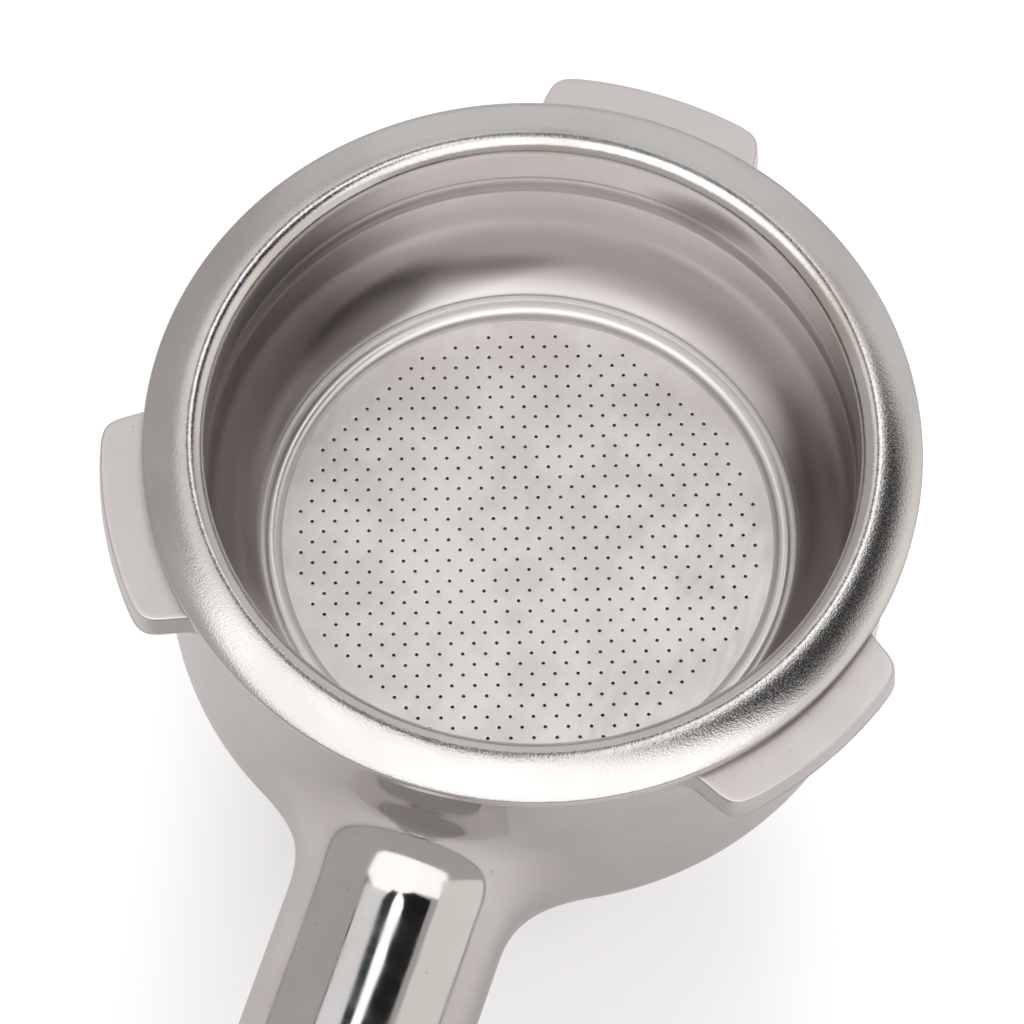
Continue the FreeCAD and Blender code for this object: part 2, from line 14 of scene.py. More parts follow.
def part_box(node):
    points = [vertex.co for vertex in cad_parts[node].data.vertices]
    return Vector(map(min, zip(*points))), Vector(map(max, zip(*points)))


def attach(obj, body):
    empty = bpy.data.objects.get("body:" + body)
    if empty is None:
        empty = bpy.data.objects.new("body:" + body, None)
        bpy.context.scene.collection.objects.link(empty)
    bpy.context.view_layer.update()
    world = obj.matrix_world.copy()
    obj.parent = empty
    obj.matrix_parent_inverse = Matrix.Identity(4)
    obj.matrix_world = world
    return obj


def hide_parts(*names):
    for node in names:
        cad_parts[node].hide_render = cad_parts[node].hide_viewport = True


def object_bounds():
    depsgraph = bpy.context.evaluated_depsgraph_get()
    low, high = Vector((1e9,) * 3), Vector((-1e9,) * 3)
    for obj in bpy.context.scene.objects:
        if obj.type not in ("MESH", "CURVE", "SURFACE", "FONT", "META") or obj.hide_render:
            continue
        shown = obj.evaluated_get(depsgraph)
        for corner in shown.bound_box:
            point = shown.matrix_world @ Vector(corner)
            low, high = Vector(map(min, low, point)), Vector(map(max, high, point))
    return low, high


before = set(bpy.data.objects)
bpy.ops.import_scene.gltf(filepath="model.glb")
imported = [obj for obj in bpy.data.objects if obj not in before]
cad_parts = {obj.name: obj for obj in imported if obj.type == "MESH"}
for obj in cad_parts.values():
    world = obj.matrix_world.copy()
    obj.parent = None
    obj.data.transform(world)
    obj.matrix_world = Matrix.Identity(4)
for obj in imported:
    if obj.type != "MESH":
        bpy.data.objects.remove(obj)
cad_low, cad_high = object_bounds()


# --- Filter basket -----------------------------------------------------
# A cup drawn from half-millimetre stainless sheet.  Its rim is rolled over
# and hemmed, a ridge is rolled into the wall for the spring to hold, and a
# bead stiffens the edge of the floor.  Polished rim, satin inside.

MM = 0.001
TURN = 2.0 * math.pi


def turned(points, angle):
    """Points turned round +Z: x takes cosine and minus sine, y sine and cosine."""
    cos_turn, sin_turn = math.cos(angle), math.sin(angle)
    return points @ np.array([[cos_turn, sin_turn, 0.0], [-sin_turn, cos_turn, 0.0],
                              [0.0, 0.0, 1.0]])


def arc(start, middle, end, count=12):
    """Points of the circle through three (radius, height) points, even in angle."""
    a, b, c = (np.array(point, float) for point in (start, middle, end))
    rows = 2.0 * np.array([b - a, c - a])
    centre = np.linalg.solve(rows, np.array([b @ b - a @ a, c @ c - a @ a]))
    angles = [math.atan2(point[1] - centre[1], point[0] - centre[0]) for point in (a, b, c)]
    sweep = (angles[2] - angles[0]) % TURN
    if (angles[1] - angles[0]) % TURN > sweep:
        sweep -= TURN
    along = angles[0] + sweep * np.linspace(0.0, 1.0, count)
    radius = math.hypot(*(a - centre))
    return centre + radius * np.stack([np.cos(along), np.sin(along)], -1)


def stepped(ring, cost, count):
    """Count points of a closed line, at even steps of a growing cost along it."""
    at = np.linspace(0.0, cost[-1], count, endpoint=False)
    return np.stack([np.interp(at, cost, ring[:, axis]) for axis in (0, 1)], -1)


def softened(corners, blur, count):
    """Closed outline with its corners eased.

    The outline is walked in even steps of a third of the blur, and each step
    becomes the bell-weighted mean of the steps round it.  Then count points
    are kept, close together where the line turns: a turn of 0.12 radians
    costs as much as a run of 1.5 mm.
    """
    ring = np.vstack([corners, corners[:1]])
    run = np.concatenate([[0.0], np.cumsum(np.hypot(*np.diff(ring, axis=0).T))])
    path = stepped(ring, run, max(8, int(run[-1] / (blur / 3.0))))
    reach = 9
    wide = np.vstack([path[-reach:], path, path[:reach]])
    bell = np.exp(-0.5 * (np.arange(-reach, reach + 1) / 3.0) ** 2)
    bell /= bell.sum()
    eased = np.stack([np.convolve(wide[:, axis], bell, "valid") for axis in (0, 1)], -1)
    ring = np.vstack([eased, eased[:1]])
    runs = np.diff(ring, axis=0)
    heading = np.unwrap(np.arctan2(runs[:, 1], runs[:, 0]))
    bend = np.abs(np.diff(heading, prepend=heading[:1]))
    cost = np.concatenate([[0.0], np.cumsum(bend / 0.12 + np.hypot(*runs.T) / 1.5)])
    return stepped(ring, cost, count)


def lathe(outline, angles):
    """The (radius, height) outline at each of the given angles, as a grid of points."""
    radius, height = outline[:, 0], outline[:, 1]
    return np.stack([radius * np.cos(angles)[:, None], radius * np.sin(angles)[:, None],
                     np.broadcast_to(height, (len(angles), len(height)))], -1)


def spun(outline, segments):
    """Points of the outline carried round +Z in even steps."""
    return lathe(outline, np.linspace(0.0, TURN, segments, endpoint=False)).reshape(-1, 3)


def quads(rows, columns, wrap_rows=True, wrap_columns=True, start=0):
    """Corner numbers of a grid's faces, carried round where the grid closes."""
    i = np.arange(rows if wrap_rows else rows - 1)[:, None]
    j = np.arange(columns if wrap_columns else columns - 1)[None, :]
    k, m = (i + 1) % rows, (j + 1) % columns
    corners = [i * columns + j, k * columns + j, k * columns + m, i * columns + m]
    return start + np.stack(np.broadcast_arrays(*corners), -1).reshape(-1, 4)


def merged(points, faces):
    """Points that coincide become one, and faces lose their repeated corners."""
    keys = np.round(points * 1e4).astype(np.int64)
    _, first, back = np.unique(keys, axis=0, return_index=True, return_inverse=True)
    back = back.reshape(-1).tolist()
    tidy = [list(dict.fromkeys(back[corner] for corner in face)) for face in faces]
    return points[first], [face for face in tidy if len(face) > 2]


def inside_out(points, faces):
    """True where a closed skin's signed volume, by fans of its faces, is negative."""
    first = points[[face[0] for face in faces]]
    second = points[[face[1] for face in faces]]
    third = points[[face[2] for face in faces]]
    last = points[[face[-1] for face in faces]]
    fans = np.cross(first, second) * third + np.cross(first, third) * last
    return fans.sum() < 0.0


def piece_from(name, points, faces, body, material, nodes=(), true_normals=None):
    """A smooth closed piece from millimetre points, riding on a body of the model.

    Points that coincide are merged, unless exact normals are given for some:
    a mapping from a first point's number to the normals from there on.
    """
    if true_normals is None:
        points, faces = merged(points, faces)
    if inside_out(points, faces):
        faces = [face[::-1] for face in faces]
    mesh = bpy.data.meshes.new(name)
    mesh.from_pydata((points * MM).tolist(), [], faces)
    mesh.polygons.foreach_set("use_smooth", np.ones(len(mesh.polygons), bool))
    if true_normals is None:
        mesh.set_sharp_from_angle(angle=math.radians(35.0))
    else:
        normals = np.empty(len(points) * 3)
        mesh.vertices.foreach_get("normal", normals)
        normals = normals.reshape(-1, 3)
        for start, exact in true_normals.items():
            length = np.linalg.norm(exact, axis=1)[:, None]
            normals[start:start + len(exact)] = exact / length
        mesh.normals_split_custom_set_from_vertices(normals.tolist())
    mesh.materials.append(material)
    piece = bpy.data.objects.new(name, mesh)
    bpy.context.scene.collection.objects.link(piece)
    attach(piece, body)
    if nodes:
        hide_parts(*nodes)
    return piece


def shader(name, metallic, roughness, colour=(0.8, 0.8, 0.8), **sockets):
    """A Principled material whose constants sit on the shader's own sockets."""
    material = bpy.data.materials.new(name)
    material.use_nodes = True
    material.diffuse_color = (*colour, 1.0)
    surface = material.node_tree.nodes["Principled BSDF"]
    surface.inputs["Metallic"].default_value = metallic
    surface.inputs["Roughness"].default_value = roughness
    surface.inputs["Base Color"].default_value = (*colour, 1.0)
    for socket, amount in sockets.items():
        surface.inputs[socket.replace("_", " ")].default_value = amount
    return material, material.node_tree, surface


def node(tree, kind, inputs, **settings):
    """A node's first output; each input is a number, a vector or another output."""
    made = tree.nodes.new(kind)
    for setting, amount in settings.items():
        setattr(made, setting, amount)
    for socket, amount in inputs.items():
        if isinstance(amount, bpy.types.NodeSocket):
            tree.links.new(amount, made.inputs[socket])
        else:
            made.inputs[socket].default_value = amount
    return made.outputs[0]


def sum_of(tree, first, second):
    """Two values added."""
    return node(tree, "ShaderNodeMath", {0: first, 1: second}, operation="ADD")


def product(tree, first, second):
    """Two values multiplied."""
    return node(tree, "ShaderNodeMath", {0: first, 1: second}, operation="MULTIPLY")


def ranged(tree, source, low, high, new_low, new_high):
    """A value moved smoothly from one range to another, and held at its ends."""
    return node(tree, "ShaderNodeMapRange", {
        "Value": source, "From Min": low, "From Max": high,
        "To Min": new_low, "To Max": new_high}, interpolation_type="SMOOTHSTEP")


def cloud(tree, vector, size_mm, detail=3.0):
    """Fractal noise whose blobs are about this many millimetres wide, from 0 to 1."""
    return node(tree, "ShaderNodeTexNoise", {
        "Vector": vector, "Scale": 1.0 / (size_mm * MM), "Detail": detail})


def here(tree):
    """The surface point on the piece."""
    return tree.nodes.new("ShaderNodeTexCoord").outputs["Object"]


def round_cup(tree, stretch=1.0):
    """Coordinates round the cup's axis, and the radius and height by themselves.

    The first two numbers are the direction from the axis at the wall's mean
    radius, so they meet round the back, and the third is the radius plus the
    height.  A stretch above one draws noise out round the cup.
    """
    x, y, z = node_outputs(tree, "ShaderNodeSeparateXYZ", here(tree))
    radius = node(tree, "ShaderNodeMath", {0: sum_of(tree, product(tree, x, x),
                                                     product(tree, y, y))}, operation="SQRT")
    share = node(tree, "ShaderNodeMath", {0: 26.0 * MM / stretch, 1: radius},
                 operation="DIVIDE")
    vector = node(tree, "ShaderNodeCombineXYZ", {
        "X": product(tree, x, share), "Y": product(tree, y, share),
        "Z": sum_of(tree, radius, z)})
    return vector, radius, z


def node_outputs(tree, kind, source):
    """Every output of a node fed by one input."""
    made = tree.nodes.new(kind)
    tree.links.new(source, made.inputs[0])
    return made.outputs


def blended(tree, amount, first, second):
    """A colour between two others."""
    made = tree.nodes.new("ShaderNodeMix")
    made.data_type = "RGBA"
    for socket, value in ((0, amount), (6, first), (7, second)):
        if isinstance(value, bpy.types.NodeSocket):
            tree.links.new(value, made.inputs[socket])
        else:
            made.inputs[socket].default_value = (*value, 1.0) if socket else value
    return made.outputs[2]


def bumped(tree, surface, height, depth_mm):
    """Relief on the shader: the height's full range is this many millimetres."""
    made = tree.nodes.new("ShaderNodeBump")
    made.inputs["Strength"].default_value = 1.0
    made.inputs["Distance"].default_value = depth_mm * MM
    tree.links.new(height, made.inputs["Height"])
    tree.links.new(made.outputs["Normal"], surface.inputs["Normal"])


def mottled(tree, surface, pattern, tones, gloss, relief, depth_mm):
    """Two tones and a range of roughness that follow one noise pattern, and a relief."""
    tree.links.new(blended(tree, pattern, *tones), surface.inputs["Base Color"])
    tree.links.new(ranged(tree, pattern, 0.3, 0.7, *gloss), surface.inputs["Roughness"])
    bumped(tree, surface, relief, depth_mm)


_, rim_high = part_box("filter_basket")
floor_low, floor_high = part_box("basket_floor")
sheet = (floor_high.z - floor_low.z) / MM
floor_top = floor_high.z / MM
rim_out = rim_high.x / MM
rim_crest = rim_high.z / MM
bore = 25.4
bead_out = 21.4
bead_in = floor_high.x / MM
bead_mid = 0.5 * (bead_out + bead_in)
bead_rise = 0.9
foot_rad = 24.5
crest_rad = 26.8
ridge_rise = 0.5
ridge_top = -2.7
ridge_mid = -3.8
ridge_low = -4.9
wall_low = -9.4
foot_height = -12.3

inside = np.vstack([
    arc((bead_in, floor_top), (bead_mid, floor_top + bead_rise), (bead_out, floor_top + 0.65)),
    arc((bead_out + 0.1, floor_top + 1.3), (foot_rad, foot_height), (bore, wall_low)),
    arc((bore, ridge_low), (bore + ridge_rise, ridge_mid), (bore, ridge_top)),
    arc((bore, 1.4), (25.95, 2.02), (crest_rad, rim_crest)),
    arc((crest_rad, rim_crest), (28.575, 1.79), (rim_out, 1.1)),
])
outside = np.vstack([
    [(rim_out, 0.3), (rim_out - 0.3, 0.0), (bore + sheet, 0.0)],
    arc((bore + sheet, ridge_top), (bore + sheet + ridge_rise, ridge_mid), (bore + sheet, ridge_low)),
    arc((bore + sheet, wall_low), (foot_rad + 0.5, foot_height), (bead_out + sheet, floor_top)),
    [(bead_out + 0.3, floor_top - sheet), (bead_in, floor_top - sheet)],
])
basket_outline = softened(np.vstack([inside, outside]), 0.12, 150)

# Satin steel: long soft smudges and a few dark patches on the wall, and a
# painted dark reflection down the wall's left and right sides; on the rim a
# fine grain with a little straw colour.
basket_steel, tree, surface = shader("drawn basket steel", 1.0, 0.2)
smudge_point, radius, height = round_cup(tree, 3.0)
smudge = cloud(tree, smudge_point, 6.0, 3.0)
stain = cloud(tree, smudge_point, 9.0, 1.0)
grain = cloud(tree, here(tree), 0.16, 2.0)
across = node_outputs(tree, "ShaderNodeSeparateXYZ", smudge_point)[0]
# Painted dark reflection: this mask darkens the wall towards its left and right sides.
side = ranged(tree, product(tree, across, across), 24e-6, 62e-6, 0.0, 1.0)
on_rim = ranged(tree, height, 0.5 * MM, 1.3 * MM, 0.0, 1.0)
crest = product(tree, on_rim, ranged(tree, radius, 28.3 * MM, 27.2 * MM, 0.0, 1.0))
# The dark second colour here is the painted reflection on the wall's sides.
wall_tone = blended(tree, side, (0.70, 0.66, 0.65), (0.25, 0.22, 0.21))
wall_tone = blended(tree, ranged(tree, stain, 0.3, 0.42, 0.8, 0.0), wall_tone, (0.12, 0.105, 0.1))
near_floor = ranged(tree, height, (floor_top + 1.6) * MM, (floor_top + 1.0) * MM, 0.0, 1.0)
wall_tone = blended(tree, near_floor, wall_tone, (0.72, 0.70, 0.685))
rim_tone = blended(tree, ranged(tree, smudge, 0.35, 0.65, 0.0, 1.0),
                   (0.54, 0.52, 0.505), (0.63, 0.61, 0.595))
plain = blended(tree, on_rim, wall_tone, rim_tone)
straw = product(tree, crest, ranged(tree, cloud(tree, smudge_point, 4.0, 2.0), 0.55, 0.75, 0.0, 0.4))
tree.links.new(blended(tree, straw, plain, (0.5, 0.37, 0.27)), surface.inputs["Base Color"])
wall_gloss = ranged(tree, smudge, 0.3, 0.7, 0.28, 0.4)
rim_gloss = ranged(tree, grain, 0.3, 0.7, 0.14, 0.22)
tree.links.new(node(tree, "ShaderNodeMix", {0: on_rim, 2: wall_gloss, 3: rim_gloss}),
               surface.inputs["Roughness"])
bumped(tree, surface, sum_of(tree, product(tree, on_rim, grain), product(tree, smudge, 0.8)), 0.011)

piece_from("basket_wall", spun(basket_outline, 480), quads(480, len(basket_outline)), "basket",
           basket_steel, nodes=("filter_basket",))


# --- Basket floor ------------------------------------------------------
# The bottom of the same drawn cup: half-millimetre sheet with 657 punched
# holes of 0.28 mm in staggered rows, each with a slightly sunken edge.

half_pitch = 0.914
row_turn = math.radians(19.8)
field_rad = 18.65
hole_rad = 0.14


def square_edge(count):
    """Points round a unit square's edge, count to a side, from one corner round."""
    along = np.linspace(-0.5, 0.5, count, endpoint=False)
    half = np.full(count, 0.5)
    sides = [(along, -half), (half, along), (-along, half), (-half, -along)]
    return np.concatenate([np.stack(side, -1) for side in sides])


def floor_cells():
    """Every cell of the floor as points and faces, top sheet then underside.

    The floor is a chequerboard of square cells.  Where row and column add up
    to an odd number a cell has a ring of three circles round a hole, and the
    other cells are plain, with their middle as a pole.
    """
    steps = int(bead_in / half_pitch) + 2
    column, row = np.meshgrid(np.arange(-steps, steps + 1), np.arange(-steps, steps + 1))
    centres = np.stack([column, row], -1).reshape(-1, 2)
    reach = np.hypot(*(centres * half_pitch).T)
    centres = centres[reach < bead_in + 0.6 * half_pitch]
    reach = np.hypot(*(centres * half_pitch).T)
    holed = (centres.sum(axis=1) % 2 == 1) & (reach < field_rad)
    edge = square_edge(3)
    lap = len(edge)
    round_edge = edge / np.hypot(*edge.T)[:, None]
    rings = [(edge * half_pitch, 0.0), (round_edge * 1.7 * hole_rad, 0.0),
             (round_edge * 1.06 * hole_rad, -0.01), (round_edge * hole_rad, -0.07),
             (round_edge * hole_rad, -sheet + 0.05), (round_edge * 1.7 * hole_rad, -sheet),
             (edge * half_pitch, -sheet)]
    spots = centres[holed][:, None, None, :] * half_pitch
    flat = spots + np.stack([ring for ring, _ in rings])[None]
    drop = np.broadcast_to(np.array([fall for _, fall in rings])[None, :, None, None],
                           flat.shape[:3] + (1,))
    holes = np.concatenate([flat, drop], -1)
    count = len(holes)
    one = quads(len(rings), lap, False, True)
    hole_faces = (np.arange(count)[:, None, None] * len(rings) * lap + one[None]).reshape(-1, 4)
    spots = centres[~holed][:, None, :] * half_pitch
    ring = spots + (edge * half_pitch)[None]
    plain_points = []
    plain_faces = []
    start = holes.reshape(-1, 3).shape[0]
    for level, order in ((0.0, 1), (-sheet, -1)):
        full = np.concatenate([ring, spots], 1)
        cells = np.concatenate([full, np.full(full.shape[:2] + (1,), level)], -1)
        i = np.arange(lap)
        fan = np.stack([i, np.full(lap, lap), np.full(lap, lap), (i + 1) % lap], -1)[:, ::order]
        offset = start + np.arange(len(cells))[:, None, None] * (lap + 1)
        plain_points.append(cells.reshape(-1, 3))
        plain_faces.append((offset + fan[None]).reshape(-1, 4))
        start += len(cells) * (lap + 1)
    points = np.vstack([holes.reshape(-1, 3)] + plain_points)
    return points, np.vstack([hole_faces] + plain_faces)


def closed_rim(points, faces):
    """The sheet's cut edge: each loose edge of the top joined to the one below."""
    sides = np.array([(a, b) for face in faces for a, b in zip(face, face[1:] + face[:1])])
    code = np.sort(sides, axis=1) @ np.array([len(points), 1])
    _, first, uses = np.unique(code, return_index=True, return_counts=True)
    loose = sides[first[uses == 1]]
    upper = loose[(points[loose][:, :, 2] > -0.5 * sheet).all(axis=1)]
    keys = {tuple(key): index for index, key in enumerate(np.round(points * 1e4).astype(int).tolist())}
    low = np.round((points[upper] - np.array([0.0, 0.0, sheet])) * 1e4).astype(int)
    below = np.array([[keys[tuple(spot)] for spot in pair] for pair in low.tolist()])
    return np.stack([upper[:, 1], upper[:, 0], below[:, 0], below[:, 1]], -1)


floor_points, floor_faces = floor_cells()
reach = np.hypot(*floor_points[:, :2].T)
floor_points[:, :2] *= np.minimum(1.0, (bead_in - 0.002) / np.maximum(reach, 1e-9))[:, None]
floor_points, floor_faces = merged(floor_points, floor_faces)
floor_faces += closed_rim(floor_points, floor_faces).tolist()
floor_points = turned(floor_points, row_turn) + np.array([0.0, 0.0, floor_top])

floor_steel, tree, surface = shader("basket floor steel", 1.0, 0.42)
point = here(tree)
mottle = cloud(tree, point, 5.0, 4.0)
tone = blended(tree, ranged(tree, mottle, 0.35, 0.65, 0.0, 1.0),
               (0.72, 0.68, 0.665), (0.80, 0.775, 0.76))
rub_point = node(tree, "ShaderNodeMapping", {"Vector": point, "Rotation": (0.0, 0.0, 0.9),
                                             "Scale": (1.0, 0.12, 1.0)})
rub = cloud(tree, rub_point, 0.5, 2.0)
tree.links.new(tone, surface.inputs["Base Color"])
tree.links.new(ranged(tree, rub, 0.3, 0.7, 0.36, 0.5), surface.inputs["Roughness"])
bumped(tree, surface, sum_of(tree, rub, mottle), 0.006)
piece_from("basket_sieve", floor_points, floor_faces, "basket", floor_steel,
           nodes=("basket_floor",))


# --- Casting -----------------------------------------------------------
# Cup, three bayonet lugs, arm, boss and threaded nipple are one brass
# casting, turned inside, polished and nickel plated.  The arm flows into
# the cup with a soft blend, and its end is bored and tapped for the handle.

holder_low, holder_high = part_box("holder_body")
cup_rad = 29.0
cup_bore = 26.9
cup_corner = 4.5
corner_height = -21.9
cone_fall = math.tan(math.radians(16.0))
cone_normal = (math.sin(math.radians(16.0)), -math.cos(math.radians(16.0)))
boss_rad = 10.8
boss_low = -33.0
nipple_rad = 8.25
nipple_low = holder_low.z / MM
drain_rad = 4.5
arm_rad = 8.75
groove_rad = 27.7
groove_top = -1.1
groove_low = -2.4
edge_ease = 0.3
stud_hole = 5.06
stud_hole_depth = 22.0
stud_hole_point = 1.5
cell = 0.6
net_margin = 1.5
net_shift = 0.067
net_reach = 63.9
skin_top = -1.5
skin_low = -32.0
skin_reach = 64.6
thread_count = 44
thread_low = nipple_low + 0.8
thread_top = boss_low - 0.5
nipple_pitch = 1.25
nipple_half_depth = 0.3


def middle_of(name):
    """Centre of a model piece's box."""
    low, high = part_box(name)
    return (np.array(low) + np.array(high)) * 0.5 / MM


washer_middle = middle_of("handle_washer")
arm_axis = middle_of("handle_insert") - washer_middle
arm_axis /= np.linalg.norm(arm_axis)
arm_start = washer_middle - arm_axis * (washer_middle[1] / arm_axis[1])
arm_side = np.array([1.0, 0.0, 0.0])
arm_up = np.cross(arm_axis, arm_side)
arm_end = np.dot(washer_middle - arm_start, arm_axis) - 0.6


def on_arm(points):
    """Points given as (side, up, along the arm) put on the arm's axis."""
    return arm_start + points @ np.stack([arm_side, arm_up, arm_axis])


def smooth_least(first, second, blend):
    """The lesser of two distances, eased by a parabola where they are close."""
    near = np.maximum(blend - np.abs(first - second), 0.0) / blend
    return np.minimum(first, second) - near * near * blend * 0.25


def casting_field(points):
    """Distance outside the casting's skin.

    The cup is a turned wall and a cone with a rounded corner between them,
    the boss and the arm are round rods, and the three are eased together.
    """
    radius = np.hypot(points[..., 0], points[..., 1])
    out = radius - (cup_rad - cup_corner)
    drop = points[..., 2] - corner_height
    down = out * cone_normal[0] + drop * cone_normal[1]
    along_cone = -out * cone_normal[1] + drop * cone_normal[0]
    at_corner = (drop < 0.0) & (along_cone > 0.0)
    cup = np.where(at_corner, np.hypot(out, drop), np.maximum(out, down)) - cup_corner
    cup = smooth_least(cup, radius - boss_rad, 2.5)
    offset = points - arm_start
    along = np.maximum(offset @ arm_axis, 14.0)
    arm = np.linalg.norm(offset - along[..., None] * arm_axis, axis=-1) - arm_rad
    return smooth_least(cup, arm, 5.5)


def slope_of(field, points):
    """The field's gradient, by central differences."""
    nudge = 1e-3 * np.eye(3)
    return np.stack([field(points + step) - field(points - step) for step in nudge], -1) / 2e-3


def settled(field, points, passes):
    """Points moved down the gradient onto the skin."""
    for _ in range(passes):
        slope = slope_of(field, points)
        points = points - slope * (field(points) / (slope ** 2).sum(-1))[..., None]
    return points


def skin_of(field, low, counts, cell):
    """Net over the zero level of a field.

    Space is cut into cubes.  A cube that the skin crosses gets one point, and
    the four cubes round each grid edge that the skin crosses share a face.
    """
    axes = [low[axis] + cell * np.arange(counts[axis] + 1) for axis in range(3)]
    solid = field(np.stack(np.meshgrid(*axes, indexing="ij"), -1)) < 0.0
    corners = sum(solid[i:i + counts[0], j:j + counts[1], k:k + counts[2]].astype(int)
                  for i in (0, 1) for j in (0, 1) for k in (0, 1))
    cubes = np.argwhere((corners > 0) & (corners < 8))
    number = np.full(counts, -1)
    number[tuple(cubes.T)] = np.arange(len(cubes))
    faces = []
    for axis in range(3):
        side, rise = np.eye(3, dtype=int)[(axis + 1) % 3], np.eye(3, dtype=int)[(axis + 2) % 3]
        ahead = np.eye(3, dtype=int)[axis]
        first = solid[tuple(slice(0, size - step) for size, step in zip(solid.shape, ahead))]
        last = solid[tuple(slice(step, None) for step in ahead)]
        edges = np.argwhere(first != last)
        inner = ((edges - side - rise) >= 0).all(1) & (edges < counts).all(1)
        edges = edges[inner]
        around = [edges - side - rise, edges - rise, edges, edges - side]
        face = np.stack([number[tuple(spot.T)] for spot in around], -1)
        leaving = first[tuple(edges.T)]
        faces.append(np.where(leaving[:, None], face, face[:, ::-1]))
    return low + (cubes + 0.5) * cell, cubes, np.vstack(faces)


def relaxed(field, points, faces, fixed, passes):
    """Free points moved to the mean of the faces round them, and settled again."""
    for _ in range(passes):
        middle = points[faces].mean(axis=1)
        total = np.zeros_like(points)
        uses = np.zeros(len(points))
        for corner in faces.T:
            np.add.at(total, corner, middle)
            np.add.at(uses, corner, 1.0)
        moved = settled(field, total / uses[:, None], 1)
        points = np.where(fixed[:, None], points, moved)
    return np.where(fixed[:, None], points, settled(field, points, 4))


def by_angle(numbers, across, up):
    """Points of a loop in order of their angle, and the angles."""
    angle = np.arctan2(up, across)
    order = np.argsort(angle)
    return numbers[order], angle[order]


def zipped(first, first_angles, second, second_angles):
    """Triangles between two loops, stepping on along whichever is behind."""
    count = len(first)
    order = np.argsort(np.concatenate([first_angles, second_angles]), kind="stable")
    on_first = order < count
    a = np.cumsum(on_first) - 1
    b = np.cumsum(~on_first) - 1
    ahead_a = first[np.where(on_first, a - 1, a) % count]
    ahead_b = second[np.where(on_first, b, b - 1) % len(second)]
    new = np.where(on_first, first[a % count], second[b % len(second)])
    return np.stack([ahead_a, new, ahead_b], -1)


def strip_to(loop, first, columns):
    """Faces from a loop to the first column of a grid that has a row for each point."""
    column = first + np.arange(len(loop)) * columns
    return np.stack([loop, np.roll(loop, -1), np.roll(column, -1), column], -1)


counts = [int(2 * (cup_rad + net_margin) / cell), int((cup_rad + net_margin + net_reach) / cell),
          round((skin_top - skin_low) / cell)]
net_corner = np.array([-cup_rad - net_margin + net_shift, -net_reach, skin_low])
net, cubes, net_faces = skin_of(casting_field, net_corner, counts, cell)
net = settled(casting_field, net, 6)
at_top = cubes[:, 2] == counts[2] - 1
at_low = cubes[:, 2] == 0
at_end = cubes[:, 1] == 0
net[at_top] *= np.array([1.0, 1.0, 0.0])
net[at_top] *= (cup_rad / np.hypot(*net[at_top][:, :2].T))[:, None]
net[at_top, 2] = skin_low + counts[2] * cell
net[at_low, :2] *= (boss_rad / np.hypot(*net[at_low][:, :2].T))[:, None]
net[at_low, 2] = skin_low
offset = net[at_end] - arm_start
offset -= np.outer(offset @ arm_axis, arm_axis)
offset *= (arm_rad / np.linalg.norm(offset, axis=1))[:, None]
net[at_end] = arm_start + skin_reach * arm_axis + offset
net = relaxed(casting_field, net, net_faces, at_top | at_low | at_end, 5)

turned_section = softened(np.vstack([
    [(cup_rad, skin_top - 2.0), (cup_rad, -edge_ease), (cup_rad - edge_ease, 0.0),
     (cup_bore + edge_ease, 0.0), (cup_bore, -edge_ease), (cup_bore, groove_top),
     (groove_rad, groove_top), (groove_rad, groove_low), (cup_bore, groove_low)],
    arc((cup_bore, corner_height), (26.41, -23.38), (25.16, -24.21)),
    [(drain_rad, -30.13), (drain_rad, nipple_low), (nipple_rad - 0.6, nipple_low),
     (nipple_rad, nipple_low + 0.6), (nipple_rad, boss_low), (boss_rad - 0.4, boss_low),
     (boss_rad, boss_low + 0.4), (boss_rad, skin_low + 2.0)],
]), 0.12, 120)
starts = np.argmax(turned_section[:, 1] > skin_low + counts[2] * cell + 0.05)
ends = np.nonzero(turned_section[:, 1] < skin_low - 0.05)[0].max()
turned_section = turned_section[starts:ends + 1]
on_thread = (np.abs(turned_section[:, 0] - nipple_rad) < 0.03) \
    & (turned_section[:, 1] > thread_low) & (turned_section[:, 1] < boss_low - 0.4)
thread_rows = np.stack([np.full(thread_count, nipple_rad),
                        np.linspace(thread_low, thread_top, thread_count)], -1)
before = turned_section[:np.argmax(on_thread)]
after = turned_section[len(on_thread) - np.argmax(on_thread[::-1]):]
turned_section = np.vstack([before, thread_rows, after])

top_loop, top_angles = by_angle(np.nonzero(at_top)[0], *net[at_top][:, :2].T)
boss_loop, boss_angles = by_angle(np.nonzero(at_low)[0], *net[at_low][:, :2].T)
offset = net[at_end] - arm_start
end_loop, end_angles = by_angle(np.nonzero(at_end)[0], offset @ arm_side, offset @ arm_up)

turned_grid = lathe(turned_section, top_angles)
rows = np.arange(len(turned_section))
threaded = (rows >= len(before)) & (rows < len(before) + thread_count)
run_out = np.interp(turned_section[:, 1], [thread_low, thread_low + 0.8, thread_top - 1.1,
                                           thread_top], [0.0, 1.0, 1.0, 0.0])
wave = np.cos(TURN * (turned_grid[..., 2] / nipple_pitch) - top_angles[:, None])
depth = nipple_half_depth * run_out * threaded * (1.0 - wave)
turned_grid[..., :2] *= (1.0 - depth / np.maximum(turned_section[:, 0], 1.0))[..., None]

end_section = np.array([(arm_rad, arm_end - 0.9), (arm_rad, arm_end - 0.55),
                        (arm_rad - 0.06, arm_end - 0.3), (arm_rad - 0.3, arm_end - 0.06),
                        (arm_rad - 0.55, arm_end), (stud_hole + 0.4, arm_end),
                        (stud_hole, arm_end - 0.4), (stud_hole, arm_end - stud_hole_depth),
                        (0.0, arm_end - stud_hole_depth - stud_hole_point)])
end_grid = on_arm(lathe(end_section, end_angles).reshape(-1, 3))

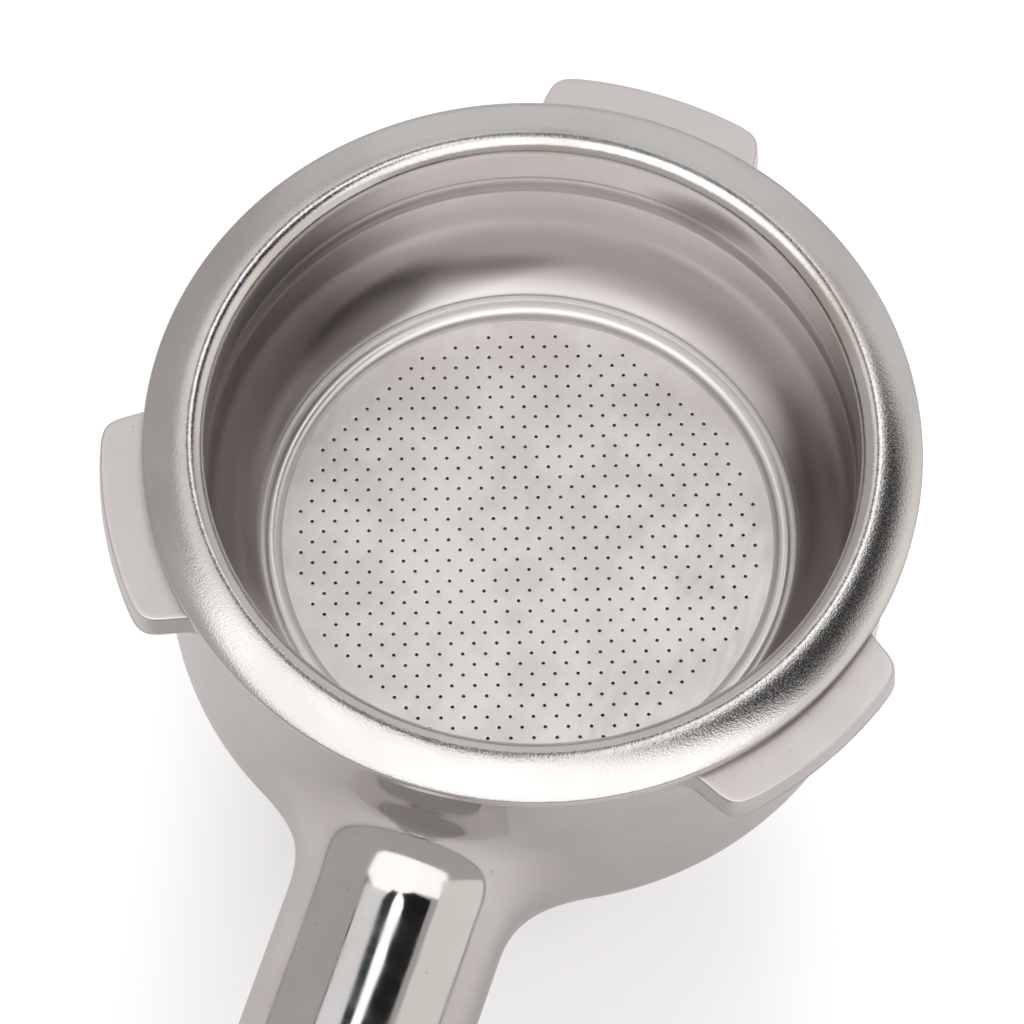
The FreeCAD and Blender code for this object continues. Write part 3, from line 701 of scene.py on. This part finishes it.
start_turned = len(net)
start_end = start_turned + turned_grid.reshape(-1, 3).shape[0]
columns = len(turned_section)
lap = len(top_loop)
last_column = start_turned + np.arange(lap) * columns + columns - 1
joins = [strip_to(top_loop, start_turned, columns),
         zipped(last_column, top_angles, boss_loop, boss_angles),
         strip_to(end_loop, start_end, len(end_section))]

lug_top = -0.2
lug_thick = 2.4
lug_rad = holder_high.y / MM
lug_half = 8.9
lug_lean = lug_thick * math.tan(math.radians(4.0))


def lug_plan(inset):
    """Plan of a lug drawn in by some amount: parallel ends, soft corners, flared root."""
    across = np.linspace(inset - lug_half, lug_half - inset, 40)
    reach = lug_rad - inset
    flare = np.array([2.4, 0.9, 0.25])
    root = np.array([26.3, 27.5, 27.68])
    return softened(np.vstack([
        np.stack([across[0] - flare, root], -1),
        np.stack([across, np.sqrt(reach ** 2 - across ** 2)], -1),
        np.stack([across[-1] + flare[::-1], root[::-1]], -1),
        [(9.0, 25.5), (-9.0, 25.5)]]), 1.1, 170)


def lug_shell(turn):
    """One lug as closed loops of its plan, stacked from underside to top.

    Each loop is the plan drawn in by the draft and by the ease of the edges.
    """
    ease = [(0.5, 0.0), (0.12, 0.0), (0.03, 0.03), (0.0, 0.12), (0.5 * lug_lean, 0.5 * lug_thick),
            (lug_lean, lug_thick - 0.25), (lug_lean + 0.02, lug_thick - 0.1),
            (lug_lean + 0.08, lug_thick - 0.02), (lug_lean + 0.17, lug_thick),
            (lug_lean + 0.5, lug_thick), (lug_lean + 1.2, lug_thick)]
    flat = np.stack([lug_plan(inset) for inset, _ in ease], 1)
    rise = lug_top - lug_thick + np.array([height for _, height in ease])
    level = np.broadcast_to(rise[None, :, None], flat.shape[:2] + (1,))
    points = np.concatenate([flat, level], -1).reshape(-1, 3)
    levels = len(ease)
    faces = quads(len(flat), levels, True, False)[:, ::-1].tolist()
    loop = np.arange(len(flat)) * levels
    faces.append(loop.tolist())
    faces.append((loop + levels - 1)[::-1].tolist())
    return turned(points, turn), faces


holder_points = np.vstack([net, turned_grid.reshape(-1, 3), end_grid])
holder_faces = [*net_faces.tolist(), *(face for join in joins for face in join.tolist()),
                *quads(lap, columns, True, False, start_turned).tolist(),
                *quads(len(end_loop), len(end_section), True, False, start_end).tolist()]
for turn in (0.0, TURN / 3.0, -TURN / 3.0):
    lug_points, lug_faces = lug_shell(turn)
    first = len(holder_points)
    holder_faces += [[first + corner for corner in face] for face in lug_faces]
    holder_points = np.vstack([holder_points, lug_points])

plated, tree, surface = shader("polished plated casting", 1.0, 0.08)
point = here(tree)
_, radius, height = round_cup(tree)
bloom = cloud(tree, point, 9.0, 3.0)
speck = ranged(tree, cloud(tree, point, 0.3, 0.0), 0.84, 0.87, 0.0, 0.5)
bright = blended(tree, ranged(tree, bloom, 0.35, 0.65, 0.0, 1.0),
                 (0.56, 0.54, 0.53), (0.60, 0.585, 0.575))
on_lug_top = product(tree, ranged(tree, height, -0.3 * MM, -0.21 * MM, 0.0, 1.0),
                     ranged(tree, radius, 28.9 * MM, 29.1 * MM, 0.0, 1.0))
handled = blended(tree, on_lug_top, bright, (0.665, 0.62, 0.605))
tree.links.new(blended(tree, speck, handled, (0.2, 0.19, 0.18)), surface.inputs["Base Color"])
cone_height = sum_of(tree, height, product(tree, radius, -cone_fall))
bored = product(tree, ranged(tree, cone_height, -32.9 * MM, -32.4 * MM, 0.0, 1.0),
                ranged(tree, radius, 28.2 * MM, 27.8 * MM, 0.0, 1.0))
satin = sum_of(tree, product(tree, on_lug_top, 0.3), product(tree, bored, 0.3))
gloss = ranged(tree, cloud(tree, point, 3.0, 4.0), 0.3, 0.7, 0.06, 0.14)
tree.links.new(sum_of(tree, satin, gloss), surface.inputs["Roughness"])
bumped(tree, surface, cloud(tree, point, 6.0, 1.0), 0.05)

piece_from("casting", holder_points, holder_faces, "holder", plated, nodes=("holder_body",),
           true_normals={0: slope_of(casting_field, net)})


# --- Basket spring -----------------------------------------------------
# An open ring of one-millimetre spring steel wire, with rounded ends.  It
# snaps into the groove in the cup and grips under the basket's ridge.

spring_low, spring_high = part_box("basket_spring")
wire_rad = 0.5 * (spring_high.z - spring_low.z) / MM
spring_rad = spring_high.y / MM - wire_rad
spring_height = 0.5 * (spring_high.z + spring_low.z) / MM
spring_gap = math.radians(24.0)


def open_ring(segments, sides):
    """A wire bent round +Z with a gap at +X.

    Along the ring the wire's radius is constant, and at each end it falls as
    a quarter circle to a point, so the ends are half balls.
    """
    fall = np.linspace(0.0, 0.5 * math.pi, 6)
    body = np.linspace(0.5 * spring_gap, TURN - 0.5 * spring_gap, segments)
    tip = wire_rad / spring_rad
    angle = np.concatenate([body[0] - tip * np.cos(fall[:-1]), body,
                            body[-1] + tip * np.cos(fall[-2::-1])])
    girth = wire_rad * np.concatenate([np.sin(fall[:-1]), np.ones(segments),
                                       np.sin(fall[-2::-1])])
    side = np.linspace(0.0, TURN, sides, endpoint=False)
    radius = spring_rad + girth[:, None] * np.cos(side)
    height = spring_height + girth[:, None] * np.sin(side)
    return np.stack([radius * np.cos(angle)[:, None], radius * np.sin(angle)[:, None],
                     height], -1)


spring_grid = open_ring(160, 14)
spring_wire, tree, surface = shader("drawn spring wire", 1.0, 0.25, (0.62, 0.62, 0.63))
draw_point, _, _ = round_cup(tree, 30.0)
draw = cloud(tree, draw_point, 0.2, 3.0)
mottled(tree, surface, draw, ((0.52, 0.52, 0.54), (0.7, 0.7, 0.7)), (0.16, 0.38), draw, 0.01)
piece_from("spring_ring", spring_grid.reshape(-1, 3),
           quads(*spring_grid.shape[:2], False, True), "holder", spring_wire,
           nodes=("basket_spring",))


# --- Handle stud -------------------------------------------------------
# A length of 10 mm steel rod, threaded all along.  One end is screwed into
# the arm, and the other into the insert in the grip.


def span_of(name):
    """Where a model piece starts and ends along the arm, from its box.

    The piece is a round one on the arm's axis, so its ends are half its
    length each way from the middle of its box.
    """
    low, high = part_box(name)
    middle = np.dot(middle_of(name) - arm_start, arm_axis)
    width = (high.x - low.x) / MM
    depth = (high.y - low.y) / MM
    length = (depth - width * abs(arm_axis[2])) / abs(arm_axis[1])
    return middle - 0.5 * length, middle + 0.5 * length, 0.5 * width


def threaded_rod(start, end, crest, pitch, deep, sides=64, rows_per_turn=8):
    """A rod with a single thread, along +Z.

    The radius is the crest less the depth times a half cosine of the height
    less the pitch times the angle's share of a turn, fading out at the ends.
    """
    rows = int((end - start) / pitch * rows_per_turn)
    height = np.linspace(start, end, rows)
    angle = np.linspace(0.0, TURN, sides, endpoint=False)[:, None]
    wave = 0.5 - 0.5 * np.cos(TURN * height / pitch - angle)
    ease = np.clip(np.minimum(height - start, end - height) / pitch, 0.0, 1.0)
    radius = crest - deep * (1.0 - ease * (1.0 - wave))
    radius = np.where(ease <= 0.0, 0.8 * crest, radius)
    radius = np.hstack([np.zeros((sides, 1)), radius, np.zeros((sides, 1))])
    height = np.concatenate([[start], height, [end]])
    return np.stack([radius * np.cos(angle), radius * np.sin(angle),
                     np.broadcast_to(height, radius.shape)], -1)


stud_start, stud_end, stud_rad = span_of("handle_stud")
stud_pitch = 1.5
stud_grid = threaded_rod(stud_start, stud_end, stud_rad, stud_pitch, deep=0.85)
threaded_steel, tree, surface = shader("zinc plated thread", 1.0, 0.35, (0.6, 0.6, 0.6))
point = here(tree)
mottled(tree, surface, cloud(tree, point, 2.0, 4.0), ((0.48, 0.49, 0.5), (0.74, 0.74, 0.72)),
        (0.25, 0.45), cloud(tree, point, 0.3, 2.0), 0.01)
piece_from("stud", on_arm(stud_grid.reshape(-1, 3)), quads(*stud_grid.shape[:2], True, False),
           "holder", threaded_steel, nodes=("handle_stud",))


# --- Washer and ferrule ------------------------------------------------
# Two plated rings on the stud: a plain washer that takes the load of the
# arm's end, and a ferrule with an eased front that covers the grip's mouth.

polished_trim, tree, surface = shader("polished plated trim", 1.0, 0.08)
point = here(tree)
mottled(tree, surface, cloud(tree, point, 4.0, 3.0), ((0.68, 0.67, 0.66), (0.78, 0.77, 0.76)),
        (0.05, 0.14), cloud(tree, point, 1.0, 2.0), 0.003)


def ring_on_arm(name, corners, blur, count, segments, material, nodes):
    """A closed (radius, along the arm) outline turned round the arm's axis."""
    outline = softened(np.array(corners), blur, count)
    return piece_from(name, on_arm(spun(outline, segments)), quads(segments, count), "holder",
                      material, nodes=nodes)


ring_hole = 5.3
washer_start, washer_end, washer_rad = span_of("handle_washer")
ring_on_arm("washer", [(ring_hole, washer_start), (washer_rad, washer_start),
                       (washer_rad, washer_end), (ring_hole, washer_end)],
            0.09, 40, 128, polished_trim, ("handle_washer",))
ferrule_rad = 10.4
ferrule_front = 1.2
ferrule_start, ferrule_end = washer_end, washer_end + 7.0
ring_on_arm("ferrule", [(ring_hole, ferrule_start), (ferrule_rad - ferrule_front, ferrule_start),
                        (ferrule_rad, ferrule_start + ferrule_front), (ferrule_rad, ferrule_end),
                        (ring_hole, ferrule_end)],
            0.3, 56, 160, polished_trim, ("handle_ferrule",))


# --- Threaded insert ---------------------------------------------------
# A turned brass sleeve, tapped for the stud and grooved outside, moulded
# into the mouth of the grip so that the plastic can't turn on it.

insert_start, insert_end, insert_rad = span_of("handle_insert")
groove_foot = insert_rad - 0.5
grooves = []
for share in (0.2, 0.4, 0.6, 0.8):
    middle = insert_start + share * (insert_end - insert_start)
    grooves += [(insert_rad, middle - 0.9), (groove_foot, middle - 0.6),
                (groove_foot, middle + 0.6), (insert_rad, middle + 0.9)]
insert_brass, tree, surface = shader("turned brass", 1.0, 0.25, (0.8, 0.6, 0.3))
point = here(tree)
mottled(tree, surface, cloud(tree, point, 3.0, 4.0), ((0.72, 0.5, 0.22), (0.86, 0.68, 0.38)),
        (0.18, 0.36), cloud(tree, point, 0.4, 2.0), 0.01)
ring_on_arm("insert", [(stud_hole, insert_start), (insert_rad, insert_start), *grooves,
                       (insert_rad, insert_end), (stud_hole, insert_end)],
            0.1, 110, 96, insert_brass, ("handle_insert",))


# --- Grip --------------------------------------------------------------
# A moulded black phenolic grip, slim at the ferrule and full in the palm,
# with a recess for the end cap's spigot and a blind hole for its screw.

grip_start = ferrule_end
grip_length = 105.0
cap_rad = 11.4
spigot_rad = 6.5
spigot_length = 7.0
screw_hole = 2.0
screw_depth = 16.0
stations = np.array([0.0, 0.14, 0.28, 0.44, 0.62, 0.8, 0.94])
swell = np.array([11.2, 10.6, 12.44, 14.28, 15.2, 14.8, 13.2])
curve = np.polyfit(stations, swell, 5)
along = np.linspace(0.0, 0.955, 48)
palm = np.stack([np.minimum(np.polyval(curve, along), 15.19), grip_start + along * grip_length], -1)
grip_end = grip_start + grip_length
shoulder = arc(palm[-1], (12.45, grip_end - 1.6), (cap_rad, grip_end), 8)[1:]
grip_corners = np.vstack([
    palm, shoulder,
    [(spigot_rad, grip_end), (spigot_rad, grip_end - spigot_length),
     (screw_hole, grip_end - spigot_length), (screw_hole, grip_end - screw_depth),
     (0.0, grip_end - screw_depth)],
])
bore_corners = np.array([(0.0, insert_end), (insert_rad, insert_end), (insert_rad, grip_start)])
grip_outline = softened(np.vstack([grip_corners, bore_corners]), 0.25, 150)
grip_outline[:, 0] = np.maximum(grip_outline[:, 0], 0.0)
grip_plastic, tree, surface = shader("black phenolic", 0.0, 0.3, (0.012, 0.012, 0.013),
                                     Specular_IOR_Level=0.5)
point = here(tree)
mottled(tree, surface, cloud(tree, point, 14.0, 4.0), ((0.009, 0.009, 0.010), (0.019, 0.018, 0.018)),
        (0.24, 0.38), cloud(tree, point, 0.8, 3.0), 0.02)
piece_from("grip", on_arm(spun(grip_outline, 192)), quads(192, len(grip_outline)), "holder",
           grip_plastic, nodes=("handle_grip",))


# --- End cap and its screw ---------------------------------------------
# A plated cap closes the end of the grip.  A countersunk screw with a cross
# recess holds it to the plastic.

cap_thick = 2.4
head_rad = 3.8
screw_way = 2.3
screw_pitch = 0.9
cross_half = 0.42
cross_depth = 1.3
face_rings = 26
ring_on_arm("cap", [(screw_way, grip_end - spigot_length), (spigot_rad, grip_end - spigot_length),
                    (spigot_rad, grip_end), (cap_rad, grip_end),
                    (cap_rad, grip_end + 0.4 * cap_thick), (cap_rad - 1.5, grip_end + cap_thick),
                    (head_rad + 0.05, grip_end + cap_thick),
                    (screw_way, grip_end + cap_thick - head_rad + screw_way)],
            0.14, 90, 160, polished_trim, ("end_cap",))


def countersunk_screw(sides=96):
    """A screw along +Z with its head's face at the cap's outside.

    The shank is a thread, the head a cone, and its face is rings of points
    sunk by a cross: two bell curves at right angles, fading with the radius.
    """
    low, top = grip_end - screw_depth, grip_end + cap_thick
    neck = top - head_rad + screw_hole
    height = np.linspace(low, neck, 150)
    angle = np.linspace(0.0, TURN, sides, endpoint=False)[:, None]
    ease = np.clip(np.minimum(height - low, neck - height) / 0.7, 0.0, 1.0)
    wave = 0.5 + 0.5 * np.cos(TURN * height / screw_pitch - angle)
    shank = screw_hole - 0.35 * ease * wave
    cone_height = np.array([neck, top - 0.12, top - 0.03, top])
    cone = np.array([screw_hole, head_rad - 0.12, head_rad - 0.04, head_rad - 0.14])
    face = np.linspace(head_rad - 0.3, 0.0, face_rings)
    radius = np.hstack([np.zeros((sides, 1)), shank, np.broadcast_to(cone, (sides, 4)),
                        np.broadcast_to(face, (sides, face_rings))])
    level = np.concatenate([[low], height, cone_height, np.full(face_rings, top)])
    x, y = radius * np.cos(angle), radius * np.sin(angle)
    cross = np.maximum(np.exp(-(x / cross_half) ** 6), np.exp(-(y / cross_half) ** 6))
    sunk = cross_depth * cross * np.clip((2.0 - radius) / 0.6, 0.0, 1.0)
    on_face = np.arange(len(level)) > len(height) + 4
    return np.stack([x, y, level - np.where(on_face, sunk, 0.0)], -1)


screw_grid = countersunk_screw()
piece_from("cap_screw", on_arm(screw_grid.reshape(-1, 3)),
           quads(*screw_grid.shape[:2], True, False), "holder", threaded_steel,
           nodes=("end_cap_screw",))


# --- Spout gasket ------------------------------------------------------
# A flat ring of black nitrile rubber on the nipple, nipped between the boss
# and the spout's collar.

gasket_low, gasket_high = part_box("spout_gasket")
gasket_bore = 8.55
gasket_rad = gasket_high.x / MM
gasket_corners = [(radius, height / MM) for radius, height in (
    (gasket_bore, gasket_low.z), (gasket_rad, gasket_low.z),
    (gasket_rad, gasket_high.z), (gasket_bore, gasket_high.z))]
gasket_outline = softened(np.array(gasket_corners), 0.1, 40)
gasket_rubber, tree, surface = shader("black nitrile rubber", 0.0, 0.6, (0.02, 0.02, 0.02))
point = here(tree)
mottled(tree, surface, cloud(tree, point, 1.5, 4.0), ((0.014, 0.014, 0.014), (0.035, 0.034, 0.033)),
        (0.5, 0.72), cloud(tree, point, 0.25, 2.0), 0.02)
piece_from("gasket_ring", spun(gasket_outline, 160), quads(160, len(gasket_outline)), "gasket",
           gasket_rubber, nodes=("spout_gasket",))


# --- Double spout ------------------------------------------------------
# One plated casting: a collar tapped for the nipple, and two short pipes
# that part under it and turn down.  The collar and both mouths are turned.

spout_low, spout_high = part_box("double_spout")
collar_rad = 11.6
collar_top = spout_high.z / MM
mouth_height = spout_low.z / MM
pipe_rad = 5.4
pipe_bore = 3.6
pipe_spread = spout_high.x / MM - pipe_rad
knee_height = mouth_height + 8.0
socket_rad = 8.31
socket_floor = nipple_low - 0.4
fork_height = nipple_low + 0.5
collar_foot = socket_floor - 4.6
foot_ease = 2.0
spout_margin = 8.0
spout_depth = 26.0
spout_cell = 0.42
spout_cut = mouth_height + 0.6
collar_cut = collar_top - 0.9
socket_cut = collar_top - 1.5


def rod_field(points, start, end, radius):
    """Distance outside a round-ended rod from start to end."""
    run = np.subtract(end, start)
    offset = points - np.array(start)
    share = np.clip(offset @ run / (run @ run), 0.0, 1.0)
    return np.linalg.norm(offset - share[..., None] * run, axis=-1) - radius


def pipes_field(points, radius, top, blend):
    """Both pipes: slanting rods from under the collar, then down to the mouths."""
    mirror = np.stack([np.abs(points[..., 0]), points[..., 1], points[..., 2]], -1)
    knee = (pipe_spread, 0.0, knee_height)
    slant = rod_field(mirror, (0.0, 0.0, top), knee, radius)
    down = rod_field(mirror, knee, (pipe_spread, 0.0, mouth_height - 20.0), radius)
    other = rod_field(mirror * np.array([-1.0, 1.0, 1.0]), (0.0, 0.0, top), knee, radius)
    return smooth_least(smooth_least(slant, down, blend), other, blend)


def spout_field(points):
    """Distance outside the spout: its pipes eased into the collar's round foot."""
    radius = np.hypot(points[..., 0], points[..., 1])
    out = radius - collar_rad + foot_ease
    low = collar_foot + foot_ease - points[..., 2]
    collar = np.hypot(np.maximum(out, 0.0), np.maximum(low, 0.0)) \
        + np.minimum(np.maximum(out, low), 0.0) - foot_ease
    return smooth_least(collar, pipes_field(points, pipe_rad, fork_height - 2.0, 1.5), 2.0)


def ways_field(points):
    """Distance inside the metal from the spout's waterways, taken as a solid."""
    radius = np.hypot(points[..., 0], points[..., 1])
    socket = -smooth_least(socket_rad - radius, points[..., 2] - socket_floor, 0.8)
    return smooth_least(socket, pipes_field(points, pipe_bore, fork_height, 0.8), 0.6)


def round_skin(field, low, high, rings):
    """Skin of a field between two heights, with its cut loops made true circles.

    Each ring is a centre along X, a radius and a height, and the skin's
    points in that end's layer of cubes are put on it.  The cubes stand a
    little off the spout's planes of symmetry, so no corner lies on the skin.
    """
    spans = (2 * (pipe_spread + spout_margin), spout_depth)
    size = [int(span / spout_cell) + 1 for span in spans]
    count = size + [round((high - low) / spout_cell)]
    base = np.array([-pipe_spread - spout_margin - 0.033, -0.5 * spout_depth - 0.017, low])
    points, cubes, faces = skin_of(field, base, count, spout_cell)
    points = settled(field, points, 6)
    fixed = (cubes[:, 2] == 0) | (cubes[:, 2] == count[2] - 1)
    loops = []
    for middle, radius, height in rings:
        layer = 0 if height == low else count[2] - 1
        near = np.hypot(points[:, 0] - middle, points[:, 1]) < radius + 1.0
        chosen = np.nonzero((cubes[:, 2] == layer) & near)[0]
        loop, angles = by_angle(chosen, points[chosen, 0] - middle, points[chosen, 1])
        level = low if layer == 0 else low + count[2] * spout_cell
        points[loop] = np.stack([middle + radius * np.cos(angles), radius * np.sin(angles),
                                 np.full(len(loop), level)], -1)
        loops.append((loop, angles))
    return relaxed(field, points, faces, fixed, 4), faces, loops


mouths = (-pipe_spread, pipe_spread)
outer_rings = [(0.0, collar_rad, collar_cut)] + [(x, pipe_rad, spout_cut) for x in mouths]
inner_rings = [(0.0, socket_rad, socket_cut)] + [(x, pipe_bore, spout_cut) for x in mouths]
outer, outer_faces, outer_loops = round_skin(spout_field, spout_cut, collar_cut, outer_rings)
inner, inner_faces, inner_loops = round_skin(ways_field, spout_cut, socket_cut, inner_rings)
spout_points = [outer, inner]
spout_faces = [*outer_faces.tolist(), *(inner_faces[:, ::-1] + len(outer)).tolist()]
first = len(outer) + len(inner)
lips = [
    np.array([(collar_rad, collar_top - 0.55), (collar_rad - 0.06, collar_top - 0.25),
              (collar_rad - 0.25, collar_top - 0.06), (collar_rad - 0.55, collar_top),
              (socket_rad + 0.6, collar_top), (socket_rad + 0.25, collar_top - 0.1),
              (socket_rad, collar_top - 0.5)]),
    *[np.array([(pipe_rad, mouth_height + 0.35), (pipe_rad - 0.08, mouth_height + 0.12),
                (pipe_rad - 0.3, mouth_height), (pipe_bore + 0.3, mouth_height),
                (pipe_bore + 0.08, mouth_height + 0.12), (pipe_bore, mouth_height + 0.35)])] * 2,
]
for (middle, *_), lip, (loop, angles), (bore_loop, bore_angles) in zip(
        outer_rings, lips, outer_loops, inner_loops):
    grid = lathe(lip, angles)
    grid[..., 0] += middle
    columns = len(lip)
    last_column = first + np.arange(len(loop)) * columns + columns - 1
    flip = 1 if middle == 0.0 else -1
    for strip in (strip_to(loop, first, columns), quads(len(loop), columns, True, False, first),
                  zipped(last_column, angles, bore_loop + len(outer), bore_angles)):
        spout_faces += strip[:, ::flip].tolist()
    spout_points.append(grid.reshape(-1, 3))
    first += len(grid) * columns
spout_points = np.vstack(spout_points)
true_normals = {0: slope_of(spout_field, outer), len(outer): -slope_of(ways_field, inner)}
piece_from("spout_pair", spout_points, spout_faces, "spout", plated, nodes=("double_spout",),
           true_normals=true_normals)


# --- Table, lights and camera ------------------------------------------
# A pale table under a bright studio tent.  Panels that only mirrors see give
# the polished casting its dark and white bands.

def sheet_of(name, corners, paint):
    """A flat stage panel through the given corners, in metres."""
    mesh = bpy.data.meshes.new(name)
    mesh.from_pydata(corners, [], [tuple(range(len(corners)))])
    mesh.materials.append(paint)
    made = bpy.data.objects.new(name, mesh)
    bpy.context.scene.collection.objects.link(made)
    return made


def seen_by_mirrors_only(made):
    """Hidden from the camera and from matt surfaces, and without a shadow."""
    made.visible_camera = False
    made.visible_diffuse = False
    made.visible_shadow = False
    return made


def square(half, height):
    """Corners of a level square, face up."""
    return [(-half, -half, height), (half, -half, height), (half, half, height),
            (-half, half, height)]


table_paint, _, _ = shader("pale table", 0.0, 0.7, (0.93, 0.93, 0.93))
table = sheet_of("table", square(6.0, cad_low.z - 0.4 * MM), table_paint)
table.visible_glossy = False
mirrored_paint, _, _ = shader("table in reflections", 0.0, 0.7, (0.545, 0.525, 0.525))
seen_by_mirrors_only(sheet_of("mirrored_table", square(6.0, cad_low.z - 0.3 * MM), mirrored_paint))

tent = bpy.data.worlds.new("studio tent")
tent.use_nodes = True
tent.node_tree.nodes["Background"].inputs["Color"].default_value = (0.57, 0.54, 0.54, 1.0)
bpy.context.scene.world = tent


def panel(name, corners, brightness, colour=(1.0, 1.0, 1.0)):
    """A glowing panel that only mirrors see."""
    paint, _, surface = shader(name, 0.0, 1.0, (0.0, 0.0, 0.0), Specular_IOR_Level=0.0)
    surface.inputs["Emission Color"].default_value = (*colour, 1.0)
    surface.inputs["Emission Strength"].default_value = brightness
    return seen_by_mirrors_only(sheet_of(name, corners, paint))


def overhead(corners, height):
    """Corners over the cup, from their directions' slopes x/z and y/z."""
    return [(u * height, v * height, height) for u, v in corners]


panel("softbox", overhead([(-0.6, -1.0), (0.28, -1.0), (0.28, -0.02), (0.08, 0.12), (-0.5, 0.12),
                           (-0.75, -0.1), (-0.75, -0.85)], 1.1), 1.75)
panel("near_softbox", overhead([(0.28, -1.0), (1.1, -1.0), (1.1, -0.02), (0.28, -0.02)], 1.1), 1.7)
panel("far_softbox", overhead([(-0.69, 0.12), (0.28, 0.12), (0.28, 0.85), (-0.69, 0.85)], 1.1), 1.05)
panel("softbox_frame", overhead([(-0.73, 0.0), (-0.69, 0.0), (-0.69, 0.85), (-0.73, 0.85)], 1.1),
      0.08)
panel("white_strip", overhead([(-0.04, 0.7), (0.26, 0.7), (0.24, 0.28), (0.1, 0.08), (0.02, 0.08),
                               (-0.04, 0.24)], 1.0), 1.9)
panel("blue_black_strip", overhead([(-0.24, 0.7), (-0.04, 0.7), (-0.04, 0.24), (0.03, 0.07),
                                    (-0.08, 0.05), (-0.22, 0.2)], 0.99), 0.05, (0.6, 0.8, 1.0))
panel("black_flag", overhead([(0.26, 0.9), (0.74, 0.9), (0.7, 0.04), (0.3, 0.0), (0.09, 0.06),
                              (0.24, 0.28)], 0.98), 0.02)
panel("right_wall", [(1.0, -0.6, 0.0), (1.0, 1.2, 0.0), (1.0, 1.2, 1.1), (1.0, -0.6, 1.1)], 1.05,
      (1.0, 0.97, 0.93))
panel("back_wall", [(-1.2, 1.3, 0.1), (1.2, 1.3, 0.1), (1.2, 1.3, 1.3), (-1.2, 1.3, 1.3)], 0.8)


def lamp(name, place, size, power):
    """A soft square light that looks at the cup, and isn't mirrored."""
    light = bpy.data.lights.new(name, "AREA")
    light.shape = "SQUARE"
    light.size = size
    light.energy = power
    made = bpy.data.objects.new(name, light)
    made.location = place
    made.rotation_euler = (-Vector(place)).to_track_quat("-Z", "Y").to_euler()
    bpy.context.scene.collection.objects.link(made)
    made.visible_glossy = False
    return made


lamp("key light", (-0.4, 0.5, 1.1), 1.2, 13.0)
lamp("fill light", (0.7, -0.5, 0.9), 1.2, 13.0)

azimuth, elevation, roll = (math.radians(angle) for angle in (16.1, 64.56, 2.44))
back = Vector((math.sin(azimuth) * math.cos(elevation),
               -math.cos(azimuth) * math.cos(elevation), math.sin(elevation)))
level = Vector((math.cos(azimuth), math.sin(azimuth), 0.0))
upright = back.cross(level)
right = math.cos(roll) * level + math.sin(roll) * upright
up = math.cos(roll) * upright - math.sin(roll) * level
target = Vector((0.0, 0.0, floor_high.z))
distance, aim_left, aim_up = 0.3814, 0.00129, 0.00213
place = target + back * distance - right * aim_left + up * aim_up
lens = bpy.data.cameras.new("camera")
lens.lens = 166.5
lens.sensor_width = 36.0
lens.clip_start = 0.01
lens.clip_end = 50.0
camera = bpy.data.objects.new("camera", lens)
camera.matrix_world = Matrix((
    (right.x, up.x, back.x, place.x),
    (right.y, up.y, back.y, place.y),
    (right.z, up.z, back.z, place.z),
    (0.0, 0.0, 0.0, 1.0),
))
bpy.context.scene.collection.objects.link(camera)
bpy.context.scene.camera = camera
bpy.context.scene.view_settings.view_transform = "Standard"
